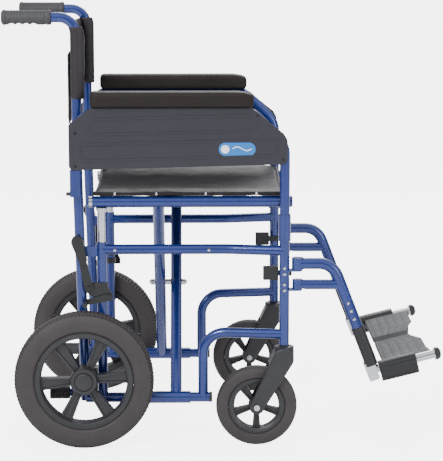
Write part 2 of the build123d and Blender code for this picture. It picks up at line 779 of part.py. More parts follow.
seat_half = rail_y + seat_overhang
seat_foot_z = seat_rail_z + seat_rail_od / 2 + soft_gap
seat_plane = Plane(origin=(seat_rear_x, 0, 0), x_dir=(0, 1, 0), z_dir=(1, 0, 0))
with BuildPart() as seat_sling:
    with BuildSketch(seat_plane):
        with BuildLine():
            Polyline((-rail_y, seat_foot_z), (-seat_half, seat_foot_z),
                     (-seat_half, seat_foot_z + seat_thickness), (-rail_y, seat_foot_z + seat_thickness))
            ThreePointArc(
                (-rail_y, seat_foot_z + seat_thickness), (0, seat_foot_z + seat_thickness - seat_sag),
                (rail_y, seat_foot_z + seat_thickness),
            )
            Polyline((rail_y, seat_foot_z + seat_thickness), (seat_half, seat_foot_z + seat_thickness),
                     (seat_half, seat_foot_z), (rail_y, seat_foot_z))
            ThreePointArc((rail_y, seat_foot_z), (0, seat_foot_z - seat_sag), (-rail_y, seat_foot_z))
        make_face()
    extrude(amount=seat_front_x - seat_rear_x)
write("seat_sling", seat_sling.part)

sleeve_bore_r = tube_r + soft_gap
sleeve_r = sleeve_bore_r + sleeve_thickness
back_front_x = back_post_top_x + back_thickness / 2
back_rear_x = back_post_top_x - back_thickness / 2
with BuildPart() as back_sling:
    with BuildSketch(Plane.XY.offset(back_foot_z)):
        with BuildLine():
            ThreePointArc(
                (back_front_x, -rail_y), (back_post_top_x - back_sag, 0),
                (back_front_x, rail_y),
            )
            Line((back_front_x, rail_y), (back_rear_x, rail_y))
            ThreePointArc(
                (back_rear_x, rail_y),
                (back_post_top_x - back_sag - back_thickness, 0),
                (back_rear_x, -rail_y),
            )
            Line((back_rear_x, -rail_y), (back_front_x, -rail_y))
        make_face()
        with Locations((back_post_top_x, -rail_y), (back_post_top_x, rail_y)):
            Circle(sleeve_r)
            Circle(sleeve_bore_r, mode=Mode.SUBTRACT)
    extrude(amount=back_top_z - back_foot_z)
write("back_sling", back_sling.part)

# ---- Leg rests ----

leg_tube_end = leg_corner + leg_slope * leg_tube_reach
leg_path = [
    (hinge_x, front_y, leg_top_z),
    tuple(leg_corner),
    tuple(leg_tube_end),
]
strut_front = leg_corner + leg_slope * ((leg_top_z - leg_strut_z) / sin(radians(leg_angle)))
leg_solid = bent_tube(leg_path, [leg_bend_radius], leg_tube_od, 0)
lug_bore = hinge_pin_od + 2 * running
with BuildPart() as legrest_tube:
    add(tube_between((hinge_x, front_y, leg_strut_z), tuple(strut_front), tube_od, tube_wall))
    add(leg_solid, mode=Mode.SUBTRACT)
    add(bent_tube(leg_path, [leg_bend_radius], leg_tube_od, leg_tube_wall))
    add(upright(
        hinge_x, front_y, hinge_plate_z + face_gap, leg_top_z + leg_tube_od / 2 + lug_stand,
        leg_tube_od + 2 * lug_stand,
    ))
    add(upright(
        hinge_x, front_y, strut_plate_z + face_gap, leg_strut_z + tube_r + lug_stand,
        tube_od + 2 * lug_stand,
    ))
    for lug_z in (hinge_plate_z, strut_plate_z):
        lug_ends = (lug_z - strut_plate_lift, lug_z + hinge_pin_height + strut_plate_lift)
        add(upright(hinge_x, front_y, *lug_ends, lug_bore), mode=Mode.SUBTRACT)
    with Locations((hinge_x, front_y, strut_plate_z - lug_relief[2] / 2 + face_gap)):
        Box(*lug_relief, mode=Mode.SUBTRACT)
write_pair("legrest_tube", legrest_tube.part)

cover_end = leg_corner + leg_slope * cover_reach
inner_tube_top = leg_corner + leg_slope * inner_tube_start
with BuildPart() as footrest_tube:
    add(tube_between(tuple(inner_tube_top), tuple(cover_end), inner_tube_od, tube_wall))
    add(tube_between(
        tuple(leg_tube_end + leg_slope * face_gap), tuple(cover_end), cover_od,
        (cover_od - inner_tube_od) / 2,
    ))
write_pair("footrest_tube", footrest_tube.part)

rod_plane = Plane(origin=tuple(rod_start), x_dir=(0, 1, 0), z_dir=tuple(rod_way))
clamp_plane = Plane(origin=tuple(rod_start), x_dir=tuple(leg_slope), z_dir=(0, 1, 0))
rod_front = rod_start + rod_way * rod_length
with BuildPart() as footplate_rod:
    with BuildSketch(clamp_plane.offset(-clamp_size[1] / 2)):
        with Locations((clamp_shift, 0)):
            RectangleRounded(clamp_size[2], clamp_size[0], clamp_corner_radius)
    extrude(amount=clamp_size[1])
    add(tube_between(tuple(rod_start), tuple(rod_front - rod_way * rod_cap_cover), rod_od, 0))
    with BuildSketch(rod_plane.offset(rod_length - rod_cap_length)):
        Circle(rod_cap_od / 2)
    extrude(amount=rod_cap_length)
    fillet(footplate_rod.edges().filter_by(GeomType.CIRCLE).sort_by(Axis.X)[-1], radius=rod_cap_round)
    add(tube_between(
        tuple(leg_tube_end), tuple(cover_end), cover_od, 0
    ), mode=Mode.SUBTRACT)
write_pair("footplate_rod", footplate_rod.part)

plate_plane = rod_plane.offset(plate_start)
with BuildPart() as footplate:
    with BuildSketch(rod_plane.offset(barrel_start)):
        Circle(barrel_od / 2)
    extrude(amount=barrel_length)
    with BuildSketch(plate_plane):
        with Locations((-plate_width / 2, 0)):
            Rectangle(plate_width, plate_thickness)
    extrude(amount=plate_length)
    with BuildSketch(rod_plane.offset(barrel_start)):
        with Locations((plate_skirt_offset, -plate_skirt_drop)):
            Rectangle(plate_skirt_thickness, plate_skirt_depth)
    extrude(amount=barrel_length)
    with BuildSketch(rod_plane):
        Circle(rod_od / 2 + running)
    extrude(amount=2 * plate_length, mode=Mode.SUBTRACT)
write_pair("footplate", footplate.part)

latch_y = front_y - tube_r - face_gap - latch_thickness / 2
latch_z = hinge_plate_z - hinge_plate_thickness - face_gap
with BuildPart() as legrest_latch:
    with BuildSketch(Plane.XY.offset(latch_z - latch_height)):
        with Locations(((latch_rear_x + latch_pivot_x) / 2, latch_y)):
            Rectangle(latch_pivot_x - latch_rear_x, latch_thickness)
    extrude(amount=latch_height)
    with Locations((latch_rear_x + latch_tab[0] / 2, latch_y, latch_z - latch_height / 2)):
        Box(*latch_tab)
    fillet(legrest_latch.edges().filter_by(Axis.Y), radius=latch_edge_radius)
write_pair("legrest_latch", legrest_latch.part)

brace_fold = degrees(brace_folded_angle - brace_rest_angle)
rail_rise = brace_length * (sin(brace_folded_angle) - sin(brace_rest_angle))
shoe_arm_length = hypot(shoe_pivot_x - shoe_x, shoe_pivot_z - shoe_z)
print(f"brace fold {brace_fold:.3f} deg, seat rails rise {rail_rise:.3f} mm")
print(f"shoe centre z {shoe_z:.3f} arm {shoe_arm_length:.3f}")
print(f"rod length {rod_length:.3f} front end {tuple(rod_front)}")
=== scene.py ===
"""Looks of a folding attendant wheelchair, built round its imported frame.

Each sub-assembly is a class that models its own pieces in metres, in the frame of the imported
model: +X towards the footplates, +Y towards the sitter's left and +Z up. Pieces of a pair are
modelled on the left and mirrored to the right.
"""

import json
import logging
from collections.abc import Callable, Iterator, Sequence
from contextlib import contextmanager
from dataclasses import dataclass
from enum import Enum
from math import cos, hypot, pi, radians, sin

import bpy
import numpy as np
from mathutils import Matrix, Vector


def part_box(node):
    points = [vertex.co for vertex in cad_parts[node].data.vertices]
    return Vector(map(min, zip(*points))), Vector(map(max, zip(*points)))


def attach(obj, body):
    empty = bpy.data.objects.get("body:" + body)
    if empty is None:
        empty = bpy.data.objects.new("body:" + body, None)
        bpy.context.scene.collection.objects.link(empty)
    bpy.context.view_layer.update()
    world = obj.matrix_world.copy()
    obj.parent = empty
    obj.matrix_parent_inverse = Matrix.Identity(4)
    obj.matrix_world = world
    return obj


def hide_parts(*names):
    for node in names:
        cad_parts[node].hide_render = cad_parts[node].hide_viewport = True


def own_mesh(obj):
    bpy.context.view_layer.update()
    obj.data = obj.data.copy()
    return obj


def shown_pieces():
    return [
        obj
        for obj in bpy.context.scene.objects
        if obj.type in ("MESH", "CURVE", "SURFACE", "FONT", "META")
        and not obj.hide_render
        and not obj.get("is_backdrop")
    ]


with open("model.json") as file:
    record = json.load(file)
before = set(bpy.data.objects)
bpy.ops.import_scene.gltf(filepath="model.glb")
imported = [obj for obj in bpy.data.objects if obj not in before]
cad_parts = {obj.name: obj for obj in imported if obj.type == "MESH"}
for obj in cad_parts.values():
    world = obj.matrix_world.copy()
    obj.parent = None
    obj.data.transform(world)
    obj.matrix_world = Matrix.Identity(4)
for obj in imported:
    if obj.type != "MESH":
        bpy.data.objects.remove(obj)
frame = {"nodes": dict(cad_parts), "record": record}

LOG = logging.getLogger("wheelchair")
MM = 0.001
ABOUT_Y = Vector((0.0, 1.0, 0.0))
ABOUT_X = Vector((1.0, 0.0, 0.0))
Piece = bpy.types.Object
Point = tuple[float, float]


class Side(Enum):
    """A side of the chair, with its word in node and body names."""

    LEFT = "left"
    RIGHT = "right"


def per_side(pattern: str) -> dict[Side, str]:
    """A name for each side, with the side's word in place of the braces."""
    return {side: pattern.format(side.value) for side in Side}


# ---- Finishes ----


class Grain(Enum):
    """The kind of relief that a surface has."""

    PEEL = "soft orange peel of a cured coat"
    PEBBLE = "pebbled skin of a moulding"
    WEAVE = "threads over and under"
    DRAWN = "fine lines of a drawn or polished tube"


@dataclass(frozen=True)
class Finish:
    """What one real surface is made of, and how it takes the light.

    Sizes are real ones in millimetres; colours are sRGB hex.
    """

    name: str
    base: str
    shade: str
    grain: Grain
    grain_mm: float
    relief_mm: float
    roughness: float
    spread: float = 0.06
    patch_mm: float = 45.0
    metallic: float = 0.0
    ior: float = 1.5
    coat: float = 0.0
    sheen: float = 0.0
    specular: float = 0.5
    threads: tuple[str, str] = ("X", "Y")
    scuff: str = ""
    scuff_share: float = 0.0


# Powder coat with fine aluminium flake over mild steel tube: deep blue with bright, soft edges.
ENAMEL = Finish("blue_powder_coated_steel", "#1C357F", "#142763", Grain.PEEL, 2.2, 0.03, 0.27,
                metallic=0.35, coat=0.6)
# Injection-moulded ABS: black with a low, even shine.
ABS = Finish("black_moulded_abs", "#17181A", "#101012", Grain.PEBBLE, 0.9, 0.03, 0.42)
# Moulded PVC rubber: dull dark grey that darkens in its ribs.
GRIP = Finish("moulded_pvc_grip", "#38383B", "#2A2A2D", Grain.PEBBLE, 1.1, 0.05, 0.62, scuff="#4A4B4E",
              scuff_share=0.25)
# Self-skinned polyurethane foam: brown black with a leathery skin.
FOAM = Finish("skinned_polyurethane_foam", "#231E1B", "#191513", Grain.PEBBLE, 2.4, 0.16, 0.6,
              specular=0.2, scuff="#332E2B", scuff_share=0.18)
# Pressed polypropylene sheet: charcoal with a fine haircell face and light rubs.
SHEET = Finish("pressed_polypropylene_sheet", "#2B2A32", "#222128", Grain.PEBBLE, 1.4, 0.05, 0.31,
               patch_mm=90.0, scuff="#3A3942", scuff_share=0.2)
# Glass-filled nylon: near-black, slightly mottled by the flow of the melt.
NYLON = Finish("glass_filled_nylon", "#28282B", "#1E1E21", Grain.PEBBLE, 1.2, 0.05, 0.42, patch_mm=30.0)
# Solid polyurethane tyre: matt charcoal that picks up pale dust on its shoulders.
TYRE = Finish("solid_polyurethane_tyre", "#373233", "#2A2627", Grain.PEBBLE, 1.6, 0.09, 0.66,
              scuff="#4A4747", scuff_share=0.3)
# Chromed steel: bright and clean with faint polishing lines.
CHROME = Finish("chromed_steel", "#D5D7DC", "#BFC2C8", Grain.DRAWN, 0.8, 0.008, 0.14, metallic=1.0)
# Stove-painted steel plate: satin black.
STOVE = Finish("stove_painted_steel", "#151618", "#0F0F10", Grain.PEEL, 1.8, 0.03, 0.36, metallic=0.2,
               coat=0.2)
# Moulded footplate nylon: mid grey, sanded by shoes.
TREAD = Finish("textured_footplate_nylon", "#515255", "#424346", Grain.PEBBLE, 1.8, 0.2, 0.6,
               specular=0.3, scuff="#66676A", scuff_share=0.35)
# PVC-coated nylon cloth of 0.5 mm thread, drawn three times as coarse so that it shows.
# The seat takes the back's own cloth painted darker: painted shade that stands for less light on its upper
# face, lit from overhead.
SHADED_SEAT_CLOTH = Finish("coated_nylon_seat_cloth", "#1D1A1D", "#141214", Grain.WEAVE, 1.5, 0.1, 0.5,
                    patch_mm=70.0, specular=0.22)
BACK_CLOTH = Finish("coated_nylon_back_cloth", "#2B272B", "#201D20", Grain.WEAVE, 1.5, 0.1, 0.5,
                    patch_mm=70.0, specular=0.3, threads=("Y", "Z"))
# Woven edge tape sewn round the cloth: a shade darker and duller.
TAPE = Finish("woven_edge_tape", "#151315", "#0F0D0F", Grain.WEAVE, 1.2, 0.12, 0.7, sheen=0.3)
# Printed vinyl label: glossy mid blue and white.
LABEL_BLUE = Finish("printed_vinyl_blue", "#1F74BE", "#186AB0", Grain.PEEL, 3.0, 0.01, 0.3, coat=0.4)
LABEL_WHITE = Finish("printed_vinyl_white", "#F1F3F5", "#E4E8EC", Grain.PEEL, 3.0, 0.01, 0.32, coat=0.4)
# Painted studio floor: pale and almost shadowless.
FLOOR = Finish("matt_studio_floor", "#F4F4F5", "#EFEFF1", Grain.PEEL, 8.0, 0.02, 0.55, patch_mm=400.0)

SLOT_FINISH = {
    "blue_enamel": ENAMEL,
    "black_plastic": ABS,
    "grip_rubber": GRIP,
    "arm_pad_foam": FOAM,
    "panel_plastic": SHEET,
    "wheel_plastic": NYLON,
    "tyre_rubber": TYRE,
    "chrome": CHROME,
    "black_steel": STOVE,
    "footplate_plastic": TREAD,
    "vinyl": SHADED_SEAT_CLOTH,
}


def linear(colour: str) -> tuple[float, float, float, float]:
    """Turns an sRGB hex colour to linear light.

    Args:
        colour: The colour as #RRGGBB.

    Returns:
        Red, green, blue and an alpha of 1.
    """
    channels = [int(colour[i:i + 2], 16) / 255 for i in (1, 3, 5)]
    red, green, blue = (c / 12.92 if c <= 0.04045 else ((c + 0.055) / 1.055) ** 2.4 for c in channels)
    return red, green, blue, 1.0


def add_node(
    tree: bpy.types.NodeTree, kind: str, settings: dict | None = None, links: dict | None = None
) -> bpy.types.Node:
    """Adds one shader node.

    Args:
        tree: The material's node tree.
        kind: The node's type.
        settings: Values by property or input name.
        links: Output sockets by input name or number.

    Returns:
        The new node.
    """
    node = tree.nodes.new(kind)
    for key, value in (settings or {}).items():
        if isinstance(key, str) and hasattr(node, key):
            setattr(node, key, value)
        else:
            node.inputs[key].default_value = value
    for key, source in (links or {}).items():
        tree.links.new(source, node.inputs[key])
    return node


class Paintbox:
    """Makes each finish into one material and keeps it."""

    WAVE_PERIOD = 0.314  # of a band texture at scale 1, in metres

    def __init__(self) -> None:
        """Starts with no materials."""
        self._made: dict[str, bpy.types.Material] = {}

    def get(self, finish: Finish) -> bpy.types.Material:
        """The material of a finish, made on first use."""
        if finish.name not in self._made:
            self._made[finish.name] = self._make(finish)
        return self._made[finish.name]

    def dress(self, piece: Piece, finish: Finish) -> Piece:
        """Gives a piece one finish all over and returns it."""
        piece.data.materials.clear()
        piece.data.materials.append(self.get(finish))
        return piece

    def _relief(
        self, tree: bpy.types.NodeTree, finish: Finish, place: bpy.types.NodeSocket
    ) -> bpy.types.NodeSocket:
        """The height output of a finish's grain."""
        scale = 1 / (finish.grain_mm * MM)
        if finish.grain is Grain.PEBBLE:
            cells = add_node(tree, "ShaderNodeTexVoronoi", {"feature": "SMOOTH_F1", "Scale": scale,
                                                            "Smoothness": 0.6}, {"Vector": place})
            return cells.outputs["Distance"]
        if finish.grain is Grain.WEAVE:
            bands = [
                add_node(tree, "ShaderNodeTexWave", {
                    "bands_direction": axis, "Scale": self.WAVE_PERIOD * scale, "Distortion": 0.4,
                    "Detail": 1.0,
                }, {"Vector": place}).outputs["Fac"]
                for axis in finish.threads
            ]
            crossed = add_node(tree, "ShaderNodeMath", {"operation": "MAXIMUM"}, {0: bands[0], 1: bands[1]})
            return crossed.outputs[0]
        if finish.grain is Grain.DRAWN:
            place = add_node(tree, "ShaderNodeMapping", {"Scale": (0.08, 1.0, 1.0)},
                             {"Vector": place}).outputs[0]
        noise = add_node(tree, "ShaderNodeTexNoise", {"Scale": scale, "Detail": 2.0}, {"Vector": place})
        return noise.outputs["Fac"]

    def _make(self, finish: Finish) -> bpy.types.Material:
        """Builds a finish's nodes."""
        made = bpy.data.materials.new(finish.name)
        made.use_nodes = True
        tree = made.node_tree
        tree.nodes.clear()
        place = add_node(tree, "ShaderNodeTexCoord").outputs["Object"]
        patches = add_node(tree, "ShaderNodeTexNoise",
                           {"Scale": 1 / (finish.patch_mm * MM), "Detail": 4.0}, {"Vector": place})
        tone = add_node(tree, "ShaderNodeMix", {"data_type": "RGBA"}, {0: patches.outputs["Fac"]})
        tone.inputs[6].default_value = linear(finish.base)
        tone.inputs[7].default_value = linear(finish.shade)
        colour = tone.outputs[2]
        if finish.scuff:
            rubs = add_node(tree, "ShaderNodeTexNoise", {"Scale": 220.0, "Detail": 6.0, "Roughness": 0.7},
                            {"Vector": place})
            share = add_node(tree, "ShaderNodeMapRange", {
                "From Min": 0.58, "From Max": 0.75, "To Max": finish.scuff_share,
            }, {"Value": rubs.outputs["Fac"]})
            worn = add_node(tree, "ShaderNodeMix", {"data_type": "RGBA"}, {0: share.outputs[0]})
            tree.links.new(colour, worn.inputs[6])
            worn.inputs[7].default_value = linear(finish.scuff)
            colour = worn.outputs[2]
        gloss = add_node(tree, "ShaderNodeMapRange", {
            "To Min": finish.roughness - finish.spread, "To Max": finish.roughness + finish.spread,
        }, {"Value": patches.outputs["Fac"]})
        bump = add_node(tree, "ShaderNodeBump", {"Strength": 0.7, "Distance": finish.relief_mm * MM},
                        {"Height": self._relief(tree, finish, place)})
        shader = add_node(tree, "ShaderNodeBsdfPrincipled", {
            "Metallic": finish.metallic, "IOR": finish.ior, "Specular IOR Level": finish.specular,
            "Coat Weight": finish.coat, "Coat Roughness": 0.08,
            "Sheen Weight": finish.sheen, "Sheen Roughness": 0.4,
        }, {"Base Color": colour, "Roughness": gloss.outputs[0], "Normal": bump.outputs[0]})
        add_node(tree, "ShaderNodeOutputMaterial", {}, {"Surface": shader.outputs[0]})
        return made


# ---- Modelling ----


def alone(piece: Piece) -> None:
    """Makes a piece the active one and the only one selected."""
    bpy.ops.object.select_all(action="DESELECT")
    bpy.context.view_layer.objects.active = piece
    piece.select_set(True)


@contextmanager
def editing(piece: Piece, everything: str = "") -> Iterator[None]:
    """Holds a piece alone in edit mode.

    Args:
        piece: The piece.
        everything: VERT, EDGE or FACE selects all of them; none keeps the faces picked before.
    """
    alone(piece)
    kinds = ("VERT", "EDGE", "FACE")
    bpy.context.tool_settings.mesh_select_mode = [(everything or "FACE") == kind for kind in kinds]
    bpy.ops.object.mode_set(mode="EDIT")
    if everything:
        bpy.ops.mesh.select_all(action="SELECT")
    try:
        yield
    finally:
        bpy.ops.object.mode_set(mode="OBJECT")


def pick(piece: Piece, test: Callable[[Vector, Vector], bool]) -> None:
    """Selects the faces whose centre and normal pass a test, and nothing else."""
    mesh = piece.data
    mesh.vertices.foreach_set("select", [False] * len(mesh.vertices))
    mesh.edges.foreach_set("select", [False] * len(mesh.edges))
    mesh.polygons.foreach_set("select", [bool(test(f.center, f.normal)) for f in mesh.polygons])


def settle(piece: Piece, angle: float = 35.0) -> Piece:
    """Puts a piece's place in its mesh, turns its faces outwards and smooths its soft edges."""
    alone(piece)
    bpy.ops.object.transform_apply(location=True, rotation=True, scale=True)
    with editing(piece, "FACE"):
        bpy.ops.mesh.remove_doubles(threshold=0.01 * MM)
        bpy.ops.mesh.normals_make_consistent(inside=False)
    bpy.ops.object.shade_smooth_by_angle(angle=radians(angle))
    return piece


def apply(piece: Piece, kind: str, **settings: object) -> Piece:
    """Adds a modifier with its settings and applies it."""
    modifier = piece.modifiers.new(kind.title(), kind)
    for key, value in settings.items():
        setattr(modifier, key, value)
    alone(piece)
    bpy.ops.object.modifier_apply(modifier=modifier.name)
    return piece


def rounded(piece: Piece, width: float, segments: int = 3, angle: float = 40.0) -> Piece:
    """Rounds a piece's sharp edges."""
    return apply(piece, "BEVEL", width=width, segments=segments, limit_method="ANGLE",
                 angle_limit=radians(angle), use_clamp_overlap=True)


def added(name: str, add: Callable[..., object], **settings: object) -> Piece:
    """Adds a mesh with one of Blender's own operators and names it."""
    bpy.ops.object.select_all(action="DESELECT")
    add(**settings)
    bpy.context.object.name = name
    return bpy.context.object


def block(
    name: str, low: Sequence[float], high: Sequence[float], edge: float = 0.0, segments: int = 3
) -> Piece:
    """A box between two corners with rounded edges."""
    middle = [(a + b) / 2 for a, b in zip(low, high)]
    piece = added(name, bpy.ops.mesh.primitive_cube_add, size=1.0, location=middle)
    piece.scale = [b - a for a, b in zip(low, high)]
    return rounded(settle(piece), edge, segments) if edge else settle(piece)


def grid(
    name: str, columns: int, rows: int, place: Callable[[float, float], tuple[float, float, float]]
) -> Piece:
    """A grid whose vertices, from -0.5 to 0.5 both ways, are put where a function says."""
    piece = added(name, bpy.ops.mesh.primitive_grid_add, x_subdivisions=columns, y_subdivisions=rows,
                  size=1.0)
    for vertex in piece.data.vertices:
        vertex.co = place(vertex.co.x, vertex.co.y)
    return piece


def extrude(move: Sequence[float]) -> None:
    """Extrudes what is selected in edit mode."""
    bpy.ops.mesh.extrude_region_move(TRANSFORM_OT_translate={"value": move})


def chain(name: str, points: Sequence[Vector]) -> Piece:
    """A run of edges through points, extruded from one vertex."""
    piece = added(name, bpy.ops.mesh.primitive_plane_add, size=MM)
    with editing(piece, "VERT"):
        bpy.ops.mesh.merge(type="CENTER")
        bpy.ops.transform.translate(value=points[0])
        for start, end in zip(points, points[1:]):
            extrude(end - start)
    return piece


def lathe(
    name: str, outline: Sequence[Point], centre: Vector, axis: Vector, steps: int, smooth: float = 35.0
) -> Piece:
    """Spins an outline round an axis.

    Args:
        name: The piece's name.
        outline: Points as (radius, distance along the axis).
        centre: A point on the axis, from which distances are measured.
        axis: The axis, a unit vector.
        steps: How many steps a full turn takes.
        smooth: Edges under this angle in degrees are shaded smooth.

    Returns:
        The turned piece.
    """
    away = Vector((0, 0, 1)).cross(axis).normalized()
    piece = chain(name, [centre + away * r + axis * d for r, d in outline])
    with editing(piece, "VERT"):
        bpy.ops.mesh.spin(steps=steps, angle=2 * pi, center=centre, axis=axis)
    return settle(piece, smooth)


def linked(name: str, data: bpy.types.ID) -> Piece:
    """An object of the scene that holds a mesh, curve, lamp or camera."""
    made = bpy.data.objects.new(name, data)
    bpy.context.collection.objects.link(made)
    return made


def joined(name: str, pieces: Sequence[Piece]) -> Piece:
    """Joins pieces into one."""
    alone(pieces[0])
    for piece in pieces[1:]:
        piece.select_set(True)
    bpy.ops.object.join()
    pieces[0].name = name
    return pieces[0]


def copied(piece: Piece, name: str, move: Matrix) -> Piece:
    """A copy with its own mesh, moved by a matrix; a mirror's faces are turned back."""
    copy = piece.copy()
    copy.data = piece.data.copy()
    copy.name = name
    bpy.context.collection.objects.link(copy)
    copy.data.transform(move)
    if move.determinant() < 0:
        copy.data.flip_normals()
    return copy


def mirrored(piece: Piece) -> Piece:
    """The right side's copy of a left piece."""
    return copied(piece, piece.name.replace("left", "right"), Matrix.Scale(-1, 4, ABOUT_Y))


def fit_pair(
    piece: Piece, bodies: dict[Side, str], slot: str = "", nodes: dict[Side, str] | None = None
) -> tuple[Piece, Piece]:
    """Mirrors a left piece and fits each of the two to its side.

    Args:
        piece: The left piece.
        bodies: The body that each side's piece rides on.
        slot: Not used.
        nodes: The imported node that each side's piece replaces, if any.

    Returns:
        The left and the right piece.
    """
    pair = (piece, mirrored(piece))
    for one, side in zip(pair, Side):
        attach(one, bodies[side])
        if nodes:
            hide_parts(nodes[side])
    return pair


def middle_of(node: str) -> Vector:
    """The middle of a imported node's box."""
    low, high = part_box(node)
    return (low + high) / 2


def panel_face() -> float:
    """The Y of the left side panel's outer face, between its raised beads."""
    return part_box("side_panel_left")[1].y - 1.2 * MM


def puffed(piece: Piece, held: Callable[[Vector], bool], voxel: float, cap: float) -> Piece:
    """Fills a closed piece of cloth with a little air by cloth simulation.

    Args:
        piece: The closed piece.
        held: Says whether a point stays where it is.
        voxel: The size of the new faces, in metres.
        cap: How far a point may move, in metres.

    Returns:
        The simulated piece.
    """
    apply(piece, "REMESH", mode="VOXEL", voxel_size=voxel)
    start = np.array([v.co for v in piece.data.vertices])
    pins = piece.vertex_groups.new(name="held")
    pins.add([v.index for v in piece.data.vertices if held(v.co)], 1.0, "REPLACE")
    cloth = piece.modifiers.new("Cloth", "CLOTH")
    cloth.settings.vertex_group_mass = pins.name
    cloth.settings.use_pressure = True
    cloth.settings.uniform_pressure_force = 4.0
    cloth.settings.effector_weights.gravity = 0.0
    cloth.settings.quality = 4
    frames = 20
    cloth.point_cache.frame_end = frames
    scene = bpy.context.scene
    for frame_number in range(1, frames + 1):
        scene.frame_set(frame_number)
    alone(piece)
    bpy.ops.object.modifier_apply(modifier=cloth.name)
    scene.frame_set(1)
    end = np.array([v.co for v in piece.data.vertices])
    moved = end - start
    length = np.linalg.norm(moved, axis=1, keepdims=True)
    end = start + moved * np.minimum(1.0, cap / np.maximum(length, 1e-9))
    piece.data.vertices.foreach_set("co", end.ravel())
    piece.vertex_groups.clear()
    return piece


def creased(piece: Piece, size: float, depth: float, name: str) -> Piece:
    """Gives cloth shallow wrinkles of a given size and depth, in metres."""
    texture = bpy.data.textures.new(name, "CLOUDS")
    texture.noise_scale = size
    texture.noise_depth = 2
    return apply(piece, "DISPLACE", texture=texture, texture_coords="LOCAL", strength=depth, mid_level=0.5)


# ---- Wheels ----


@dataclass
class MouldedWheel:
    """A solid tyre on a moulded centre with ribbed spokes, turning about Y."""

    # The tyre's flank, as shares of its depth and of its half width.
    FLANK = ((0.0, 0.80), (0.10, 0.94), (0.34, 1.0), (0.62, 0.97), (0.84, 0.80), (0.97, 0.48), (1.0, 0.16))

    paint: Paintbox
    label: str
    rim_node: str
    tyre_node: str
    body: str
    rim_inner: float
    hub: float
    spokes: int
    first_angle: float
    spoke_root: float
    spoke_tip: float
    blocks: int
    groove: float
    groove_from: float = 0.85
    shoulder: float = 0.6
    lip: float = 1.6 * MM

    def __post_init__(self) -> None:
        """Reads the wheel's own sizes from the frame."""
        low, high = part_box(f"{self.tyre_node}_left")
        self.centre = (low + high) / 2
        self.radius = (high.x - low.x) / 2
        self.half = (high.y - low.y) / 2
        low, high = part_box(f"{self.rim_node}_left")
        self.seat = (high.x - low.x) / 2
        self.inner_y = low.y - self.centre.y
        self.outer_y = high.y - self.centre.y

    def in_groove(self, centre: Vector, _normal: Vector) -> bool:
        """Whether a face of the tyre lies in a groove between two blocks."""
        away = centre - self.centre
        if hypot(away.x, away.z) < self.seat + (self.radius - self.seat) * self.groove_from:
            return False
        step = pi / self.blocks
        turn = int((np.arctan2(away.z, away.x) + 2 * pi) / step + 0.25)
        return (turn + (abs(away.y) > self.half * self.shoulder)) % 2 == 0

    def tyre(self) -> Piece:
        """The tyre: smooth, or with blocks cut in both shoulders and along its tread."""
        depth = self.radius - self.seat
        flank = [(self.seat + depth * a, self.half * b) for a, b in self.FLANK]
        near = [(r, -y) for r, y in flank]
        outline = [*near, *reversed(flank), near[0]]
        tyre = lathe(f"{self.label}_tyre_left", outline, self.centre, ABOUT_Y, 2 * self.blocks, 28.0)
        if self.groove:
            pick(tyre, self.in_groove)
            with editing(tyre):
                bpy.ops.mesh.inset(thickness=0.3 * MM, depth=-self.groove)
        return self.paint.dress(tyre, TYRE)

    def rim(self) -> Piece:
        """The ring that carries the tyre, with a rolled lip on both edges."""
        half = self.half * 0.84
        seat = self.seat - 0.2 * MM
        return lathe(f"{self.label}_centre_left", [
            (self.rim_inner, -half + self.lip), (self.rim_inner + self.lip, -half),
            (self.seat - self.lip, -half - self.lip), (seat, -half), (seat, half),
            (self.seat - self.lip, half + self.lip), (self.rim_inner + self.lip, half),
            (self.rim_inner, half - self.lip), (self.rim_inner - self.lip, 0.0),
            (self.rim_inner, -half + self.lip),
        ], self.centre, ABOUT_Y, 72)

    def boss(self) -> Piece:
        """The hub, with a cap that stands out of it."""
        cap = self.hub * 0.6
        face = self.outer_y - 4 * MM
        return lathe(f"{self.label}_hub", [
            (0.0, self.inner_y), (self.hub * 0.7, self.inner_y), (self.hub, self.inner_y + 3 * MM),
            (self.hub, face - 3 * MM), (self.hub - 2 * MM, face), (cap + 3 * MM, face),
            (cap + 2 * MM, face - 1.5 * MM), (cap, face - 1.5 * MM), (cap, self.outer_y - MM),
            (cap - 2 * MM, self.outer_y), (0.0, self.outer_y),
        ], self.centre, ABOUT_Y, 48)

    def spoke(self) -> Piece:
        """A spoke along X, narrower at its root, with a sunk panel on both faces."""
        start = self.hub * 0.75
        end = self.rim_inner + self.lip
        depth = self.half * 0.5
        tip = self.spoke_tip / 2
        spoke = block(f"{self.label}_spoke", (start, -depth, -tip), (end, depth, tip))
        for vertex in spoke.data.vertices:
            if vertex.co.x < (start + end) / 2:
                vertex.co.z *= self.spoke_root / self.spoke_tip
        rounded(spoke, 1.8 * MM, 2)
        for way in (-1, 1):
            pick(spoke, lambda _centre, normal: normal.y * way > 0.95)
            with editing(spoke):
                bpy.ops.mesh.inset(thickness=2.4 * MM, depth=0.0)
                bpy.ops.mesh.inset(thickness=0.8 * MM, depth=-3.5 * MM)
        return settle(spoke)

    def moulding(self) -> Piece:
        """The rim, spokes and hub as one moulding."""
        parts = [self.rim(), self.boss()]
        spoke = self.spoke()
        for number in range(self.spokes):
            angle = self.first_angle + number * 360 / self.spokes
            place = Matrix.Translation(self.centre) @ Matrix.Rotation(radians(-angle), 4, ABOUT_Y)
            parts.append(copied(spoke, f"{self.label}_spoke_{number}", place))
        bpy.data.objects.remove(spoke)
        return self.paint.dress(joined(f"{self.label}_centre_left", parts), NYLON)

    def build(self) -> None:
        """Makes both wheels."""
        bodies = per_side(self.body + "_{}")
        tyre, moulding = self.tyre(), self.moulding()
        fit_pair(tyre, bodies, "tyre_rubber", per_side(self.tyre_node + "_{}"))
        fit_pair(moulding, bodies, "wheel_plastic", per_side(self.rim_node + "_{}"))


# ---- Push grips ----


